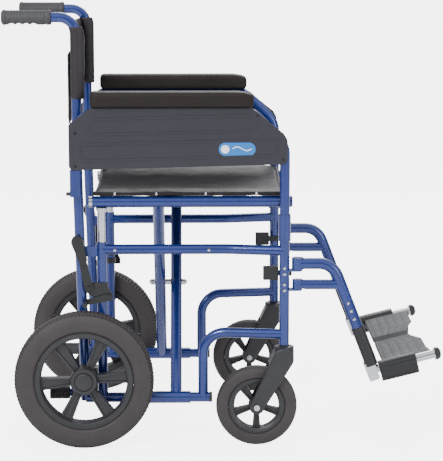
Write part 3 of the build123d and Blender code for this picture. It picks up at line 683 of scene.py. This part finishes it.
@dataclass
class PushGrips:
    """Ribbed grips with finger waves underneath, on the ends of the back posts."""

    paint: Paintbox
    ribs: int = 13
    rib: float = 1.0 * MM
    waves: int = 4
    wave: float = 3.6 * MM
    bore: float = 11.1 * MM
    end_wall: float = 4.2 * MM
    plain: float = 12 * MM  # left smooth at both ends

    def turned(self, length: float, radius: float, centre: Vector) -> Piece:
        """The grip as turned, with its collar and ribs all round."""
        body = radius - 1.6 * MM
        rib = body + self.rib
        rim = radius - 0.3 * MM
        outline: list[Point] = [(0.0, 0.0), (radius - 5 * MM, 0.0), (radius - MM, 2.5 * MM),
                                (radius, 6 * MM), (radius, 9 * MM), (body, 11 * MM)]
        pitch = (length - 2 * self.plain) / self.ribs
        for number in range(self.ribs):
            at = self.plain + number * pitch
            outline += [(body, at), (rib, at + pitch * 0.25), (rib, at + pitch * 0.6),
                        (body, at + pitch * 0.85)]
        outline += [(body, length - 11 * MM), (rim, length - 9 * MM), (rim, length - 2 * MM),
                    (radius - 2 * MM, length), (self.bore, length), (self.bore, self.end_wall),
                    (0.0, self.end_wall)]
        return lathe("push_grip_left", outline, centre, ABOUT_X, 48, 50.0)

    def build(self) -> None:
        """Makes both grips."""
        low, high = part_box("handle_grip_left")
        centre = Vector((low.x, (low.y + high.y) / 2, (low.z + high.z) / 2))
        length = high.x - low.x
        radius = (high.z - low.z) / 2
        smooth = radius - 1.6 * MM + self.rib
        grip = self.turned(length, radius, centre)
        first = 14 * MM
        last = length * 0.72
        for vertex in grip.data.vertices:
            at = vertex.co.x - centre.x
            away = vertex.co - centre
            reach = hypot(away.y, away.z)
            if first < at < length - first and reach > self.bore + MM and away.z < radius * 0.2:
                share = smooth / reach
                vertex.co.y = centre.y + away.y * share
                vertex.co.z = centre.z + away.z * share
            below = centre.z - vertex.co.z
            if below > self.bore * 0.6 and first < at < last:
                phase = (at - first) / (last - first) * self.waves * pi
                vertex.co.z += self.wave * abs(sin(phase)) * (below / radius) ** 2
        self.paint.dress(grip, GRIP)
        fit_pair(grip, per_side("{}_frame"), "grip_rubber", per_side("handle_grip_{}"))


# ---- Arm pads ----


@dataclass
class ArmPads:
    """Skinned foam pads, crowned on top, with a sloping front end."""

    paint: Paintbox
    edge: float = 8 * MM
    crown: float = 2.2 * MM
    nose: float = 40 * MM
    nose_drop: float = 7 * MM
    voxel: float = 2.5 * MM

    def build(self) -> None:
        """Makes both pads."""
        low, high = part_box("arm_pad_left")
        pad = block("arm_pad_foam_left", low, high, self.edge, 4)
        apply(pad, "REMESH", mode="VOXEL", voxel_size=self.voxel)
        middle = (low + high) / 2
        half = (high - low) / 2
        for vertex in pad.data.vertices:
            across = (vertex.co.y - middle.y) / half.y
            up = (vertex.co.z - low.z) / (high.z - low.z)
            into_nose = max(0.0, (vertex.co.x - (high.x - self.nose)) / self.nose)
            into_tail = max(0.0, (low.x + self.nose / 2 - vertex.co.x) / (self.nose / 2))
            vertex.co.z -= up * (self.crown * across**2 + self.nose_drop * into_nose**2)
            narrow = 1 - 0.16 * into_nose**2 - 0.12 * into_tail**2
            vertex.co.y = middle.y + (vertex.co.y - middle.y) * narrow
        apply(pad, "SMOOTH", factor=0.5, iterations=6)
        settle(pad, 60.0)
        self.paint.dress(pad, FOAM)
        for one in fit_pair(pad, per_side("armrest_{}"), "arm_pad_foam", per_side("arm_pad_{}")):
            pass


# ---- Upholstery ----


@dataclass(frozen=True)
class BackPanel:
    """A padded panel on one face of the back sling."""

    label: str
    half_width: float
    foot: float  # its lower edge above the sling's
    head: float  # its upper edge below the sling's
    way: float  # 1 for the front face, -1 for the rear one
    thick: float
    voxel: float


@dataclass
class Upholstery:
    """The seat and back slings with their edge tapes."""

    BACK_PANELS = (
        BackPanel("quilted_panel", 0.165, 8 * MM, 8 * MM, 1.0, 9 * MM, 5 * MM),
        BackPanel("rear_pocket", 0.150, -60 * MM, 45 * MM, -1.0, 4.8 * MM, 2.5 * MM),
    )

    paint: Paintbox
    fold_keep: float = 0.372  # the folded width over the open width
    tape_radius: float = 3.0 * MM
    seat_thick: float = 9 * MM
    seat_sag: float = 18 * MM
    seat_inset: float = 2 * MM
    seat_voxel: float = 5 * MM
    post_radius: float = 11 * MM
    front_pad: float = 6 * MM
    back_thick: float = 3.0 * MM
    back_sag: float = 13 * MM
    back_around: float = 0.58  # the back cloth's length, laid flat
    top_rise: float = 17 * MM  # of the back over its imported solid, along the posts' bend
    bend: float = 36 * MM

    def __post_init__(self) -> None:
        """Reads where the rails are."""
        self.rail_y = middle_of("seat_rail_left").y

    def fit(self, piece: Piece, body: str) -> None:
        """Rides a soft piece on a body and gives it a mesh of its own."""
        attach(piece, body)
        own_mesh(piece)

    def smoothed(self, cloth: Piece, finish: Finish) -> Piece:
        """Rounds a finished cloth's faces off and dresses it."""
        apply(cloth, "SUBSURF", levels=1, render_levels=1)
        return self.paint.dress(settle(cloth, 60.0), finish)

    def tape(self, name: str, points: Sequence[Vector]) -> Piece:
        """A sewn tape that follows an edge of the cloth."""
        line = bpy.data.curves.new(name, "CURVE")
        line.dimensions = "3D"
        spline = line.splines.new("NURBS")
        spline.points.add(len(points) - 1)
        for at, point in zip(spline.points, points):
            at.co = (*point, 1.0)
        spline.order_u = 3
        spline.use_endpoint_u = True
        line.bevel_depth = self.tape_radius
        line.use_fill_caps = True
        alone(linked(name, line))
        bpy.ops.object.convert(target="MESH")
        return self.paint.dress(settle(bpy.context.object, 60.0), TAPE)

    def hang(self, y: float) -> float:
        """How far the seat hangs under its rails at a place across it."""
        return self.seat_sag * max(0.0, 1 - (y / self.rail_y) ** 2)

    def bow(self, y: float) -> float:
        """How far the back bows rearwards at a place across it."""
        return self.back_sag * (1 - (y / self.rail_y) ** 2)

    def seat(self) -> None:
        """The seat sling, which hangs between the rails."""
        low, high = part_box("seat_sling")
        top = high.z - 1.5 * MM

        def place(along: float, across: float) -> tuple[float, float, float]:
            """The point of the cloth at a share of its length and width."""
            x = low.x + self.seat_inset + (along + 0.5) * (high.x - low.x - 2 * self.seat_inset)
            y = across * (high.y - low.y - 2 * self.seat_inset)
            return x, y, top - self.hang(y)

        cloth = grid("seat_cloth", 40, 48, place)
        apply(cloth, "SOLIDIFY", thickness=self.seat_thick, offset=-1.0)
        settle(cloth)
        puffed(cloth, lambda at: abs(at.y) > self.rail_y - 14 * MM, self.seat_voxel, 6 * MM)
        creased(cloth, 0.07, 5.0 * MM, "seat_wrinkles")
        # The seat cloth's colour carries painted shade: the back's cloth painted darker.
        self.smoothed(cloth, SHADED_SEAT_CLOTH)
        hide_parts("seat_sling")
        self.fit(cloth, "seat_guide_right")
        for label, x in (("front", high.x - 2 * MM), ("rear", low.x + 2 * MM)):
            across = [(number / 6 - 1) * (high.y - 5 * MM) for number in range(13)]
            points = [Vector((x, y, top - self.seat_thick / 2 - self.hang(y))) for y in across]
            self.fit(self.tape(f"seat_{label}_tape", points), "seat_guide_right")

    def back_line(self, out: float, centre: Vector) -> list[Vector]:
        """The sling's line from post to post, wrapped round the outside of both.

        Args:
            out: The radius at which the cloth goes round a post.
            centre: The middle of the left post at the cloth's foot.

        Returns:
            Points from the right post to the left one.
        """
        left = []
        for number in range(12):
            turn = radians(-150 + number * 30)
            ahead = out + max(0.0, cos(turn)) * self.front_pad
            left.append(centre + Vector((cos(turn) * ahead, sin(turn) * out, 0)))
        line = []
        for number in range(1, 20):
            y = (number / 10 - 1) * (centre.y - 6 * MM)
            line.append(Vector((centre.x - out * 0.72 - self.bow(y), y, centre.z)))
        right = [Vector((p.x, -p.y, p.z)) for p in left]
        return [*right, *line, *reversed(left)]

    def back(self) -> None:
        """The back sling, sleeved on the posts, with its panels."""
        low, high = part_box("back_sling")
        centre = Vector((high.x - (self.post_radius + 3.5 * MM), self.rail_y, low.z))
        cloth = chain("back_cloth", self.back_line(self.post_radius + 0.4 * MM, centre))
        rows = 22
        rise = (high.z + self.top_rise - low.z) / rows
        with editing(cloth, "EDGE"):
            for _row in range(rows):
                extrude((0, 0, rise))
        for vertex in cloth.data.vertices:
            over = max(0.0, vertex.co.z - high.z)
            vertex.co.x -= self.bend - (self.bend**2 - over**2) ** 0.5
        apply(cloth, "SOLIDIFY", thickness=self.back_thick, offset=0.0)
        self.smoothed(cloth, BACK_CLOTH)
        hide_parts("back_sling")
        self.fit(cloth, "right_frame")
        for kind in self.BACK_PANELS:
            self.panel(kind, low, high, centre)

    def panel(self, kind: BackPanel, low: Vector, high: Vector, centre: Vector) -> None:
        """One panel of the back.

        Args:
            kind: Which panel.
            low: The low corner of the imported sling.
            high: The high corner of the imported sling.
            centre: The middle of the left post at the cloth's foot.
        """

        def place(across: float, up: float) -> tuple[float, float, float]:
            """The point of the panel at a share of its width and height."""
            y = across * 2 * kind.half_width
            z = low.z + kind.foot + (up + 0.5) * (high.z - low.z - kind.foot - kind.head)
            off = kind.way * (2.2 * MM + kind.thick / 2)
            return centre.x - 8.2 * MM - self.bow(y) + off, y, z

        panel = grid(f"back_{kind.label}", 40, 16, place)
        apply(panel, "SOLIDIFY", thickness=kind.thick, offset=0.0)
        settle(panel)
        puffed(panel, lambda at: abs(at.y) > kind.half_width - 12 * MM, kind.voxel, kind.thick * 0.5)
        creased(panel, 0.04, kind.thick * 0.27, f"{kind.label}_wrinkles")
        if kind.way > 0:
            self.quilt(panel)
        self.smoothed(panel, BACK_CLOTH)
        self.fit(panel, "right_frame")

    def quilt(self, panel: Piece) -> None:
        """Draws the panel's front face in along its sewn lines."""
        pitch, reach, depth = 47 * MM, 5 * MM, 2.2 * MM
        for vertex in panel.data.vertices:
            off = abs((vertex.co.y / pitch) % 1 - 0.5) * pitch
            if off < reach and vertex.normal.x > 0.2:
                vertex.co.x -= depth * (1 - off / reach)

    def build(self) -> None:
        """Makes the seat and the back."""
        self.seat()
        self.back()


# ---- Footplates ----


@dataclass
class Footplates:
    """Ribbed plates on a barrel, with a skirt that hangs from the outer edge."""

    paint: Paintbox
    slope: float = 14.0
    rod_rear: tuple[float, float, float] = (0.326, 0.232, 0.166)
    rod_radius: float = 9.6 * MM
    barrel: float = 15 * MM
    barrel_from: float = 18 * MM
    barrel_to: float = 102 * MM
    plate_from: float = 30 * MM
    plate_to: float = 140 * MM
    plate_thick: float = 13 * MM
    corner: float = 26 * MM
    skirt_y: Point = (7 * MM, 14 * MM)
    skirt_z: Point = (-29.5 * MM, 14.5 * MM)
    cap_from: float = 142.6 * MM
    cap_radius: float = 13.9 * MM
    pads: tuple[int, int] = (5, 3)
    pad_height: float = 0.4 * MM

    def build(self) -> None:
        """Makes both footplates."""
        rod = Vector(self.rod_rear)
        inner = -(rod.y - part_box("footplate_left")[0].y)
        turned = Matrix.Translation(rod) @ Matrix.Rotation(radians(-self.slope), 4, ABOUT_Y)
        for piece, finish, bodies, slot, nodes in (
            (self.tread(inner), TREAD, "footplate_{}", "footplate_plastic", per_side("footplate_{}")),
            (self.cover(), ABS, "footplate_{}", "black_plastic", None),
            (self.cap(), ABS, "footrest_{}", "black_plastic", None),
        ):
            piece.data.transform(turned)
            settle(piece)
            fit_pair(self.paint.dress(piece, finish), per_side(bodies), slot, nodes)

    def tread(self, inner: float) -> Piece:
        """The plate, with shallow pads moulded on its top and its inner front corner cut off."""
        half = self.plate_thick / 2
        outer = -self.barrel + 2 * MM
        edge = 7 * MM
        plate = block("footplate_slab", (self.plate_from, inner, -half), (self.plate_to, outer, half))
        for vertex in plate.data.vertices:
            if vertex.co.x > self.plate_to - MM and vertex.co.y < inner + MM:
                vertex.co.x -= self.corner
        rounded(plate, 3 * MM, 3, 30.0)

        def place(along: float, across: float) -> tuple[float, float, float]:
            """The point of the pads at a share of the plate's length and width."""
            y = inner + edge + (across + 0.5) * (outer - inner - 2 * edge)
            taper = max(0.0, 1 - (y - inner) / (60 * MM)) * self.corner
            reach = self.plate_to - self.plate_from - 2 * edge - taper
            return self.plate_from + edge + (along + 0.5) * reach, y, half - self.pad_height

        pads = grid("footplate_pads", *self.pads, place)
        with editing(pads, "FACE"):
            extrude((0, 0, self.pad_height))
            bpy.ops.mesh.inset(thickness=0.9 * MM, depth=0.45 * MM, use_individual=True)
        return joined("footplate_tread_left", [plate, pads])

    def cover(self) -> Piece:
        """The barrel that turns on the rod, with the skirt that hangs from it."""
        start, end = self.barrel_from, self.barrel_to
        chamfer = 2 * MM
        barrel = lathe("footplate_barrel", [
            (self.rod_radius, start), (self.barrel - chamfer, start), (self.barrel, start + chamfer),
            (self.barrel, end - chamfer), (self.barrel - chamfer, end), (self.rod_radius, end),
            (self.rod_radius, start),
        ], Vector(), ABOUT_X, 40)
        low, high = zip((start, end), self.skirt_y, self.skirt_z)
        skirt = block("footplate_skirt", low, high, 2.5 * MM)
        pick(skirt, lambda _centre, normal: normal.y > 0.95)
        with editing(skirt):
            bpy.ops.mesh.inset(thickness=4 * MM, depth=0.0)
            bpy.ops.mesh.inset(thickness=MM, depth=-0.8 * MM)
        return joined("footplate_cover_left", [barrel, skirt])

    def cap(self) -> Piece:
        """The domed cap on the rod's front end."""
        start, radius = self.cap_from, self.cap_radius
        return lathe("rod_cap_left", [
            (0.0, start), (radius * 0.88, start), (radius, start + 1.5 * MM), (radius, start + 6.5 * MM),
            (radius * 0.93, start + 9.5 * MM), (radius * 0.75, start + 12.5 * MM),
            (radius * 0.45, start + 14.6 * MM), (0.0, start + 15.4 * MM),
        ], Vector(), ABOUT_X, 36)


# ---- Caster forks ----


@dataclass
class CasterForks:
    """Moulded nylon forks, whose edges are soft as they come from the tool."""

    paint: Paintbox
    voxel: float = 1.6 * MM
    softness: int = 9

    def build(self) -> None:
        """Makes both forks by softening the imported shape."""
        for side in Side:
            node = frame["nodes"][f"caster_fork_{side.value}"]
            fork = linked(f"fork_moulding_{side.value}", node.data.copy())
            fork.data.transform(node.matrix_world)
            settle(fork)
            apply(fork, "REMESH", mode="VOXEL", voxel_size=self.voxel)
            apply(fork, "SMOOTH", factor=0.5, iterations=self.softness)
            self.paint.dress(settle(fork, 60.0), NYLON)
            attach(fork, f"caster_fork_{side.value}")
            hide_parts(f"caster_fork_{side.value}")


# ---- Trim ----


@dataclass
class Trim:
    """Plugs, ribbed sleeves, screws and nuts."""

    PANEL_SCREWS = ((-0.318, 0.692), (0.073, 0.729), (-0.318, 0.621), (0.128, 0.634))  # x and z
    SEAT_SCREWS = (-0.235, -0.145, -0.038, 0.072)  # x
    POST_X = 0.133
    POST_SCREWS = (0.396, 0.383, 0.360, 0.347)  # z
    RAIL_SCREWS = (-0.236, -0.031)  # x
    RAIL_Z = 0.433
    LEG_TOP = (0.2384, 0.405)  # x and z of the leg tube's upper end
    LEG_SLOPE = 68.8
    LEG_SCREWS = (0.093, 0.112, 0.131)  # down the tube
    TIP_Z = 0.113

    paint: Paintbox

    def heads(self, name: str, places: Sequence[Sequence[float]], radius: float, height: float) -> Piece:
        """Pan heads with sockets, which stand on the left side's surfaces, as one piece."""
        outline = [
            (0.0, -0.5 * MM), (radius, -0.5 * MM), (radius, height * 0.4), (radius * 0.8, height * 0.85),
            (radius * 0.45, height), (radius * 0.38, height * 0.45), (0.0, height * 0.45),
        ]
        made = [lathe("screw_head", outline, Vector(at), ABOUT_Y, 18, 30.0) for at in places]
        return joined(f"{name}_left", made)

    def pair(self, piece: Piece, finish: Finish, slot: str, bodies: dict[Side, str]) -> None:
        """Dresses a left piece and fits it and its mirror copy."""
        fit_pair(self.paint.dress(piece, finish), bodies, slot)

    def screws(self) -> None:
        """The screws of the panels, the seat, the frame and the leg tubes."""
        face = panel_face()
        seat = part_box("seat_sling")[1]
        post_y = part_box("side_posts_left")[1].y
        rail_y = middle_of("back_post_left").y + 11 * MM
        tube_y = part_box("legrest_tube_left")[1].y - 0.6 * MM
        slope = radians(self.LEG_SLOPE)
        top_x, top_z = self.LEG_TOP
        on_panel = [(x, face, z) for x, z in self.PANEL_SCREWS]
        on_seat = [(x, seat.y - 1.5 * MM, seat.z - 6 * MM) for x in self.SEAT_SCREWS]
        on_frame = [(self.POST_X, post_y, z) for z in self.POST_SCREWS]
        on_frame += [(x, rail_y, self.RAIL_Z) for x in self.RAIL_SCREWS]
        on_leg = [(top_x + cos(slope) * s, tube_y, top_z - sin(slope) * s) for s in self.LEG_SCREWS]
        for name, places, radius, height, finish, slot, bodies in (
            ("panel_screws", on_panel, 3.2 * MM, 2.2 * MM, STOVE, "black_steel", "armrest_{}"),
            ("upholstery_screws", on_seat, 3.2 * MM, 2.5 * MM, CHROME, "chrome", "seat_guide_{}"),
            ("frame_screws", on_frame, 3.6 * MM, 2.4 * MM, CHROME, "chrome", "{}_frame"),
            ("leg_screws", on_leg, 3.4 * MM, 2.2 * MM, CHROME, "chrome", "legrest_{}"),
        ):
            self.pair(self.heads(name, places, radius, height), finish, slot, per_side(bodies))

    def build(self) -> None:
        """Makes all the small pieces."""
        self.screws()
        self.sleeves()
        self.pivot_nuts()

    def ribbed(self, name: str, centre: Vector, length: float, radius: float, ribs: int = 0) -> Piece:
        """A sleeve along X with rounded, closed ends and any number of ribs."""
        outline: list[Point] = [(0.0, 0.0), (radius * 0.7, 0.0), (radius, 2.5 * MM)]
        pitch = (length - 5 * MM) / max(ribs, 1)
        for number in range(ribs):
            at = 2.5 * MM + number * pitch
            outline += [(radius, at + pitch * 0.55), (radius - 0.9 * MM, at + pitch * 0.7),
                        (radius, at + pitch)]
        outline += [(radius - MM, length), (0.0, length)]
        return lathe(name, outline, centre, ABOUT_X, 32, 30.0)

    def sleeves(self) -> None:
        """The tipping sleeves and the ends of the seat rails."""
        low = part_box("frame_trim_left")[0]
        tip = Vector((low.x - 0.2 * MM, middle_of("back_post_left").y, self.TIP_Z))
        sleeve = self.ribbed("tipping_sleeve_left", tip, 44 * MM, 14.4 * MM, 8)
        self.pair(sleeve, GRIP, "grip_rubber", per_side("{}_frame"))
        low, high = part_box("seat_rail_left")
        middle = (low + high) / 2
        rails = {Side.RIGHT: "brace_a", Side.LEFT: "brace_b"}
        for label, x, length, finish, slot in (
            ("rear", low.x - MM, 33 * MM, CHROME, "chrome"),
            ("front", high.x - 31 * MM, 32 * MM, ABS, "black_plastic"),
        ):
            end = Vector((x, middle.y, middle.z))
            self.pair(self.ribbed(f"rail_{label}_end_left", end, length, 12.75 * MM), finish, slot, rails)

    def pivot_nuts(self) -> None:
        """A domed nut on each end of the cross brace's bolt."""
        low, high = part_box("brace_pivot_bolt")
        middle = (low + high) / 2
        for label, x, way in (("rear", low.x, -1), ("front", high.x, 1)):
            nut = lathe(f"pivot_nut_{label}", [
                (0.0, -MM), (7.2 * MM, -MM), (7.2 * MM, 2 * MM), (5.5 * MM, 3.2 * MM), (4.4 * MM, 5 * MM),
                (2.4 * MM, 6.8 * MM), (0.0, 7.4 * MM),
            ], Vector((x, middle.y, middle.z)), ABOUT_X * way, 12, 25.0)
            self.paint.dress(nut, CHROME)
            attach(nut, "brace_b")


# ---- Badge ----


@dataclass
class Badge:
    """A plain printed label on each side panel: a pill, a disc and a wave, with no lettering."""

    paint: Paintbox
    x_from: float = -0.010
    x_to: float = 0.069
    middle_z: float = 0.657
    height: float = 29 * MM
    thick: float = 0.7 * MM

    def build(self) -> None:
        """Makes the label on both panels."""
        face = panel_face()
        half = self.height / 2
        pill = block(
            "badge_pill_left", (self.x_from, face - 0.3 * MM, self.middle_z - half),
            (self.x_to, face + self.thick, self.middle_z + half),
        )
        self.weigh_corners(pill)
        apply(pill, "BEVEL", width=half * 0.98, segments=10, limit_method="WEIGHT")
        settle(pill)
        disc = lathe("badge_disc_left", [
            (0.0, 0.0), (half * 0.62, 0.0), (half * 0.62, 0.35 * MM), (half * 0.55, 0.5 * MM),
            (0.0, 0.5 * MM),
        ], Vector((self.x_from + half * 0.95, face + self.thick, self.middle_z)), ABOUT_Y, 40)
        start = self.x_from + self.height
        reach = self.x_to - 8 * MM - start
        points = [
            Vector((start + reach * n / 16, face + self.thick,
                    self.middle_z + 4 * MM * sin(n / 16 * 2 * pi)))
            for n in range(17)
        ]
        wave = chain("badge_wave_left", points)
        with editing(wave, "EDGE"):
            extrude((0, 0, 2.2 * MM))
        apply(wave, "SOLIDIFY", thickness=0.4 * MM, offset=0.0)
        settle(wave)
        for piece, finish in ((pill, LABEL_BLUE), (disc, LABEL_WHITE), (wave, LABEL_WHITE)):
            fit_pair(self.paint.dress(piece, finish), per_side("armrest_{}"))

    def weigh_corners(self, pill: Piece) -> None:
        """Weights the pill's four edges that run along Y, so that only they are rounded."""
        weights = pill.data.attributes.new("bevel_weight_edge", "FLOAT", "EDGE")
        for edge in pill.data.edges:
            one, two = (pill.data.vertices[i].co for i in edge.vertices)
            runs_along_y = abs(one.x - two.x) < 1e-5 and abs(one.z - two.z) < 1e-5
            weights.data[edge.index].value = 1.0 if runs_along_y else 0.0


# ---- Studio ----


@dataclass
class Studio:
    """The camera, the floor and the lights."""

    paint: Paintbox
    lens: float = 144.08
    camera_at: tuple[float, float, float] = (-0.077, -4.188, 1.124)
    camera_turn: tuple[float, float, float] = (80.71, 0.0, -1.06)
    backdrop: float = 2.6
    ambient: float = 1.5  # of the sky overhead
    horizon: float = 0.22
    floor_glow: float = 4.5

    def camera(self) -> None:
        """A long lens at the chair's right side, a little above the seat."""
        lens = bpy.data.cameras.new("camera")
        lens.lens = self.lens
        made = linked("camera", lens)
        made.location = self.camera_at
        made.rotation_euler = [radians(a) for a in self.camera_turn]
        bpy.context.scene.camera = made

    def light(self, name: str, at: Sequence[float], power: float, size: float) -> None:
        """A square soft light aimed at the middle of the chair."""
        lamp = bpy.data.lights.new(name, "AREA")
        lamp.energy = power
        lamp.size = size
        made = linked(name, lamp)
        made.location = at
        aim = Vector((0.0, 0.0, 0.45)) - Vector(at)
        made.rotation_euler = aim.to_track_quat("-Z", "Y").to_euler()

    def brighten(self, tree: bpy.types.NodeTree) -> None:
        """Lifts what the camera sees of the floor towards the white of the backdrop."""
        path = add_node(tree, "ShaderNodeLightPath")
        glow = add_node(tree, "ShaderNodeMath", {"operation": "MULTIPLY", 1: self.floor_glow},
                        {0: path.outputs["Is Camera Ray"]})
        shader = next(n for n in tree.nodes if n.type == "BSDF_PRINCIPLED")
        shader.inputs["Emission Color"].default_value = linear("#FFFFFF")
        tree.links.new(glow.outputs[0], shader.inputs["Emission Strength"])

    def build(self) -> None:
        """Sets up the studio."""
        self.camera()
        floor = added("studio_floor", bpy.ops.mesh.primitive_plane_add, size=60.0)
        self.paint.dress(floor, FLOOR)
        self.brighten(floor.active_material.node_tree)
        floor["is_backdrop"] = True
        self.light("key", (-1.8, -2.8, 2.8), 130.0, 1.2)
        self.light("fill", (2.6, -2.6, 1.4), 40.0, 1.6)
        self.light("back", (0.4, 3.0, 2.8), 80.0, 2.0)
        world = bpy.data.worlds.new("studio")
        world.use_nodes = True
        tree = world.node_tree
        tree.nodes.clear()
        seen = add_node(tree, "ShaderNodeBackground", {
            "Color": linear("#FFFFFF"), "Strength": self.backdrop,
        })
        way = add_node(tree, "ShaderNodeTexCoord").outputs["Generated"]
        height = add_node(tree, "ShaderNodeSeparateXYZ", {}, {0: way}).outputs["Z"]
        dome = add_node(tree, "ShaderNodeMapRange", {
            "From Min": 0.05, "From Max": 0.7, "To Min": self.horizon, "To Max": self.ambient,
        }, {"Value": height})
        soft = add_node(tree, "ShaderNodeBackground", {"Color": linear("#F6F7FA")},
                        {"Strength": dome.outputs[0]})
        path = add_node(tree, "ShaderNodeLightPath")
        mixed = add_node(tree, "ShaderNodeMixShader", {}, {
            0: path.outputs["Is Camera Ray"], 1: soft.outputs[0], 2: seen.outputs[0],
        })
        add_node(tree, "ShaderNodeOutputWorld", {}, {"Surface": mixed.outputs[0]})
        bpy.context.scene.world = world


def dress_frame(paint: Paintbox) -> None:
    """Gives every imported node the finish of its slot."""
    for row in frame["record"]["subparts"]:
        paint.dress(frame["nodes"][row["node"]], SLOT_FINISH[row["material_slot"]])


def main() -> None:
    """Builds every sub-assembly in order."""
    logging.basicConfig(level=logging.INFO, format="%(name)s: %(message)s")
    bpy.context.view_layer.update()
    paint = Paintbox()
    Studio(paint).build()
    dress_frame(paint)
    MouldedWheel(
        paint, "rear_wheel", "wheel_rim", "tyre", "rear_wheel", rim_inner=95 * MM, hub=30 * MM, spokes=6,
        first_angle=5.0, spoke_root=16 * MM, spoke_tip=28 * MM, blocks=108, groove=1.9 * MM,
    ).build()
    MouldedWheel(
        paint, "front_wheel", "caster_rim", "caster_tyre", "caster_wheel", rim_inner=50 * MM,
        hub=17 * MM, spokes=5, first_angle=270.0, spoke_root=11 * MM, spoke_tip=18 * MM, blocks=60,
        groove=0.0,
    ).build()
    for kind in (PushGrips, ArmPads, Upholstery, Footplates, CasterForks, Trim, Badge):
        kind(paint).build()
    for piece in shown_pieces():
        LOG.info("%s: %d faces", piece.name, len(piece.data.polygons))


if __name__ == "__main__":
    main()
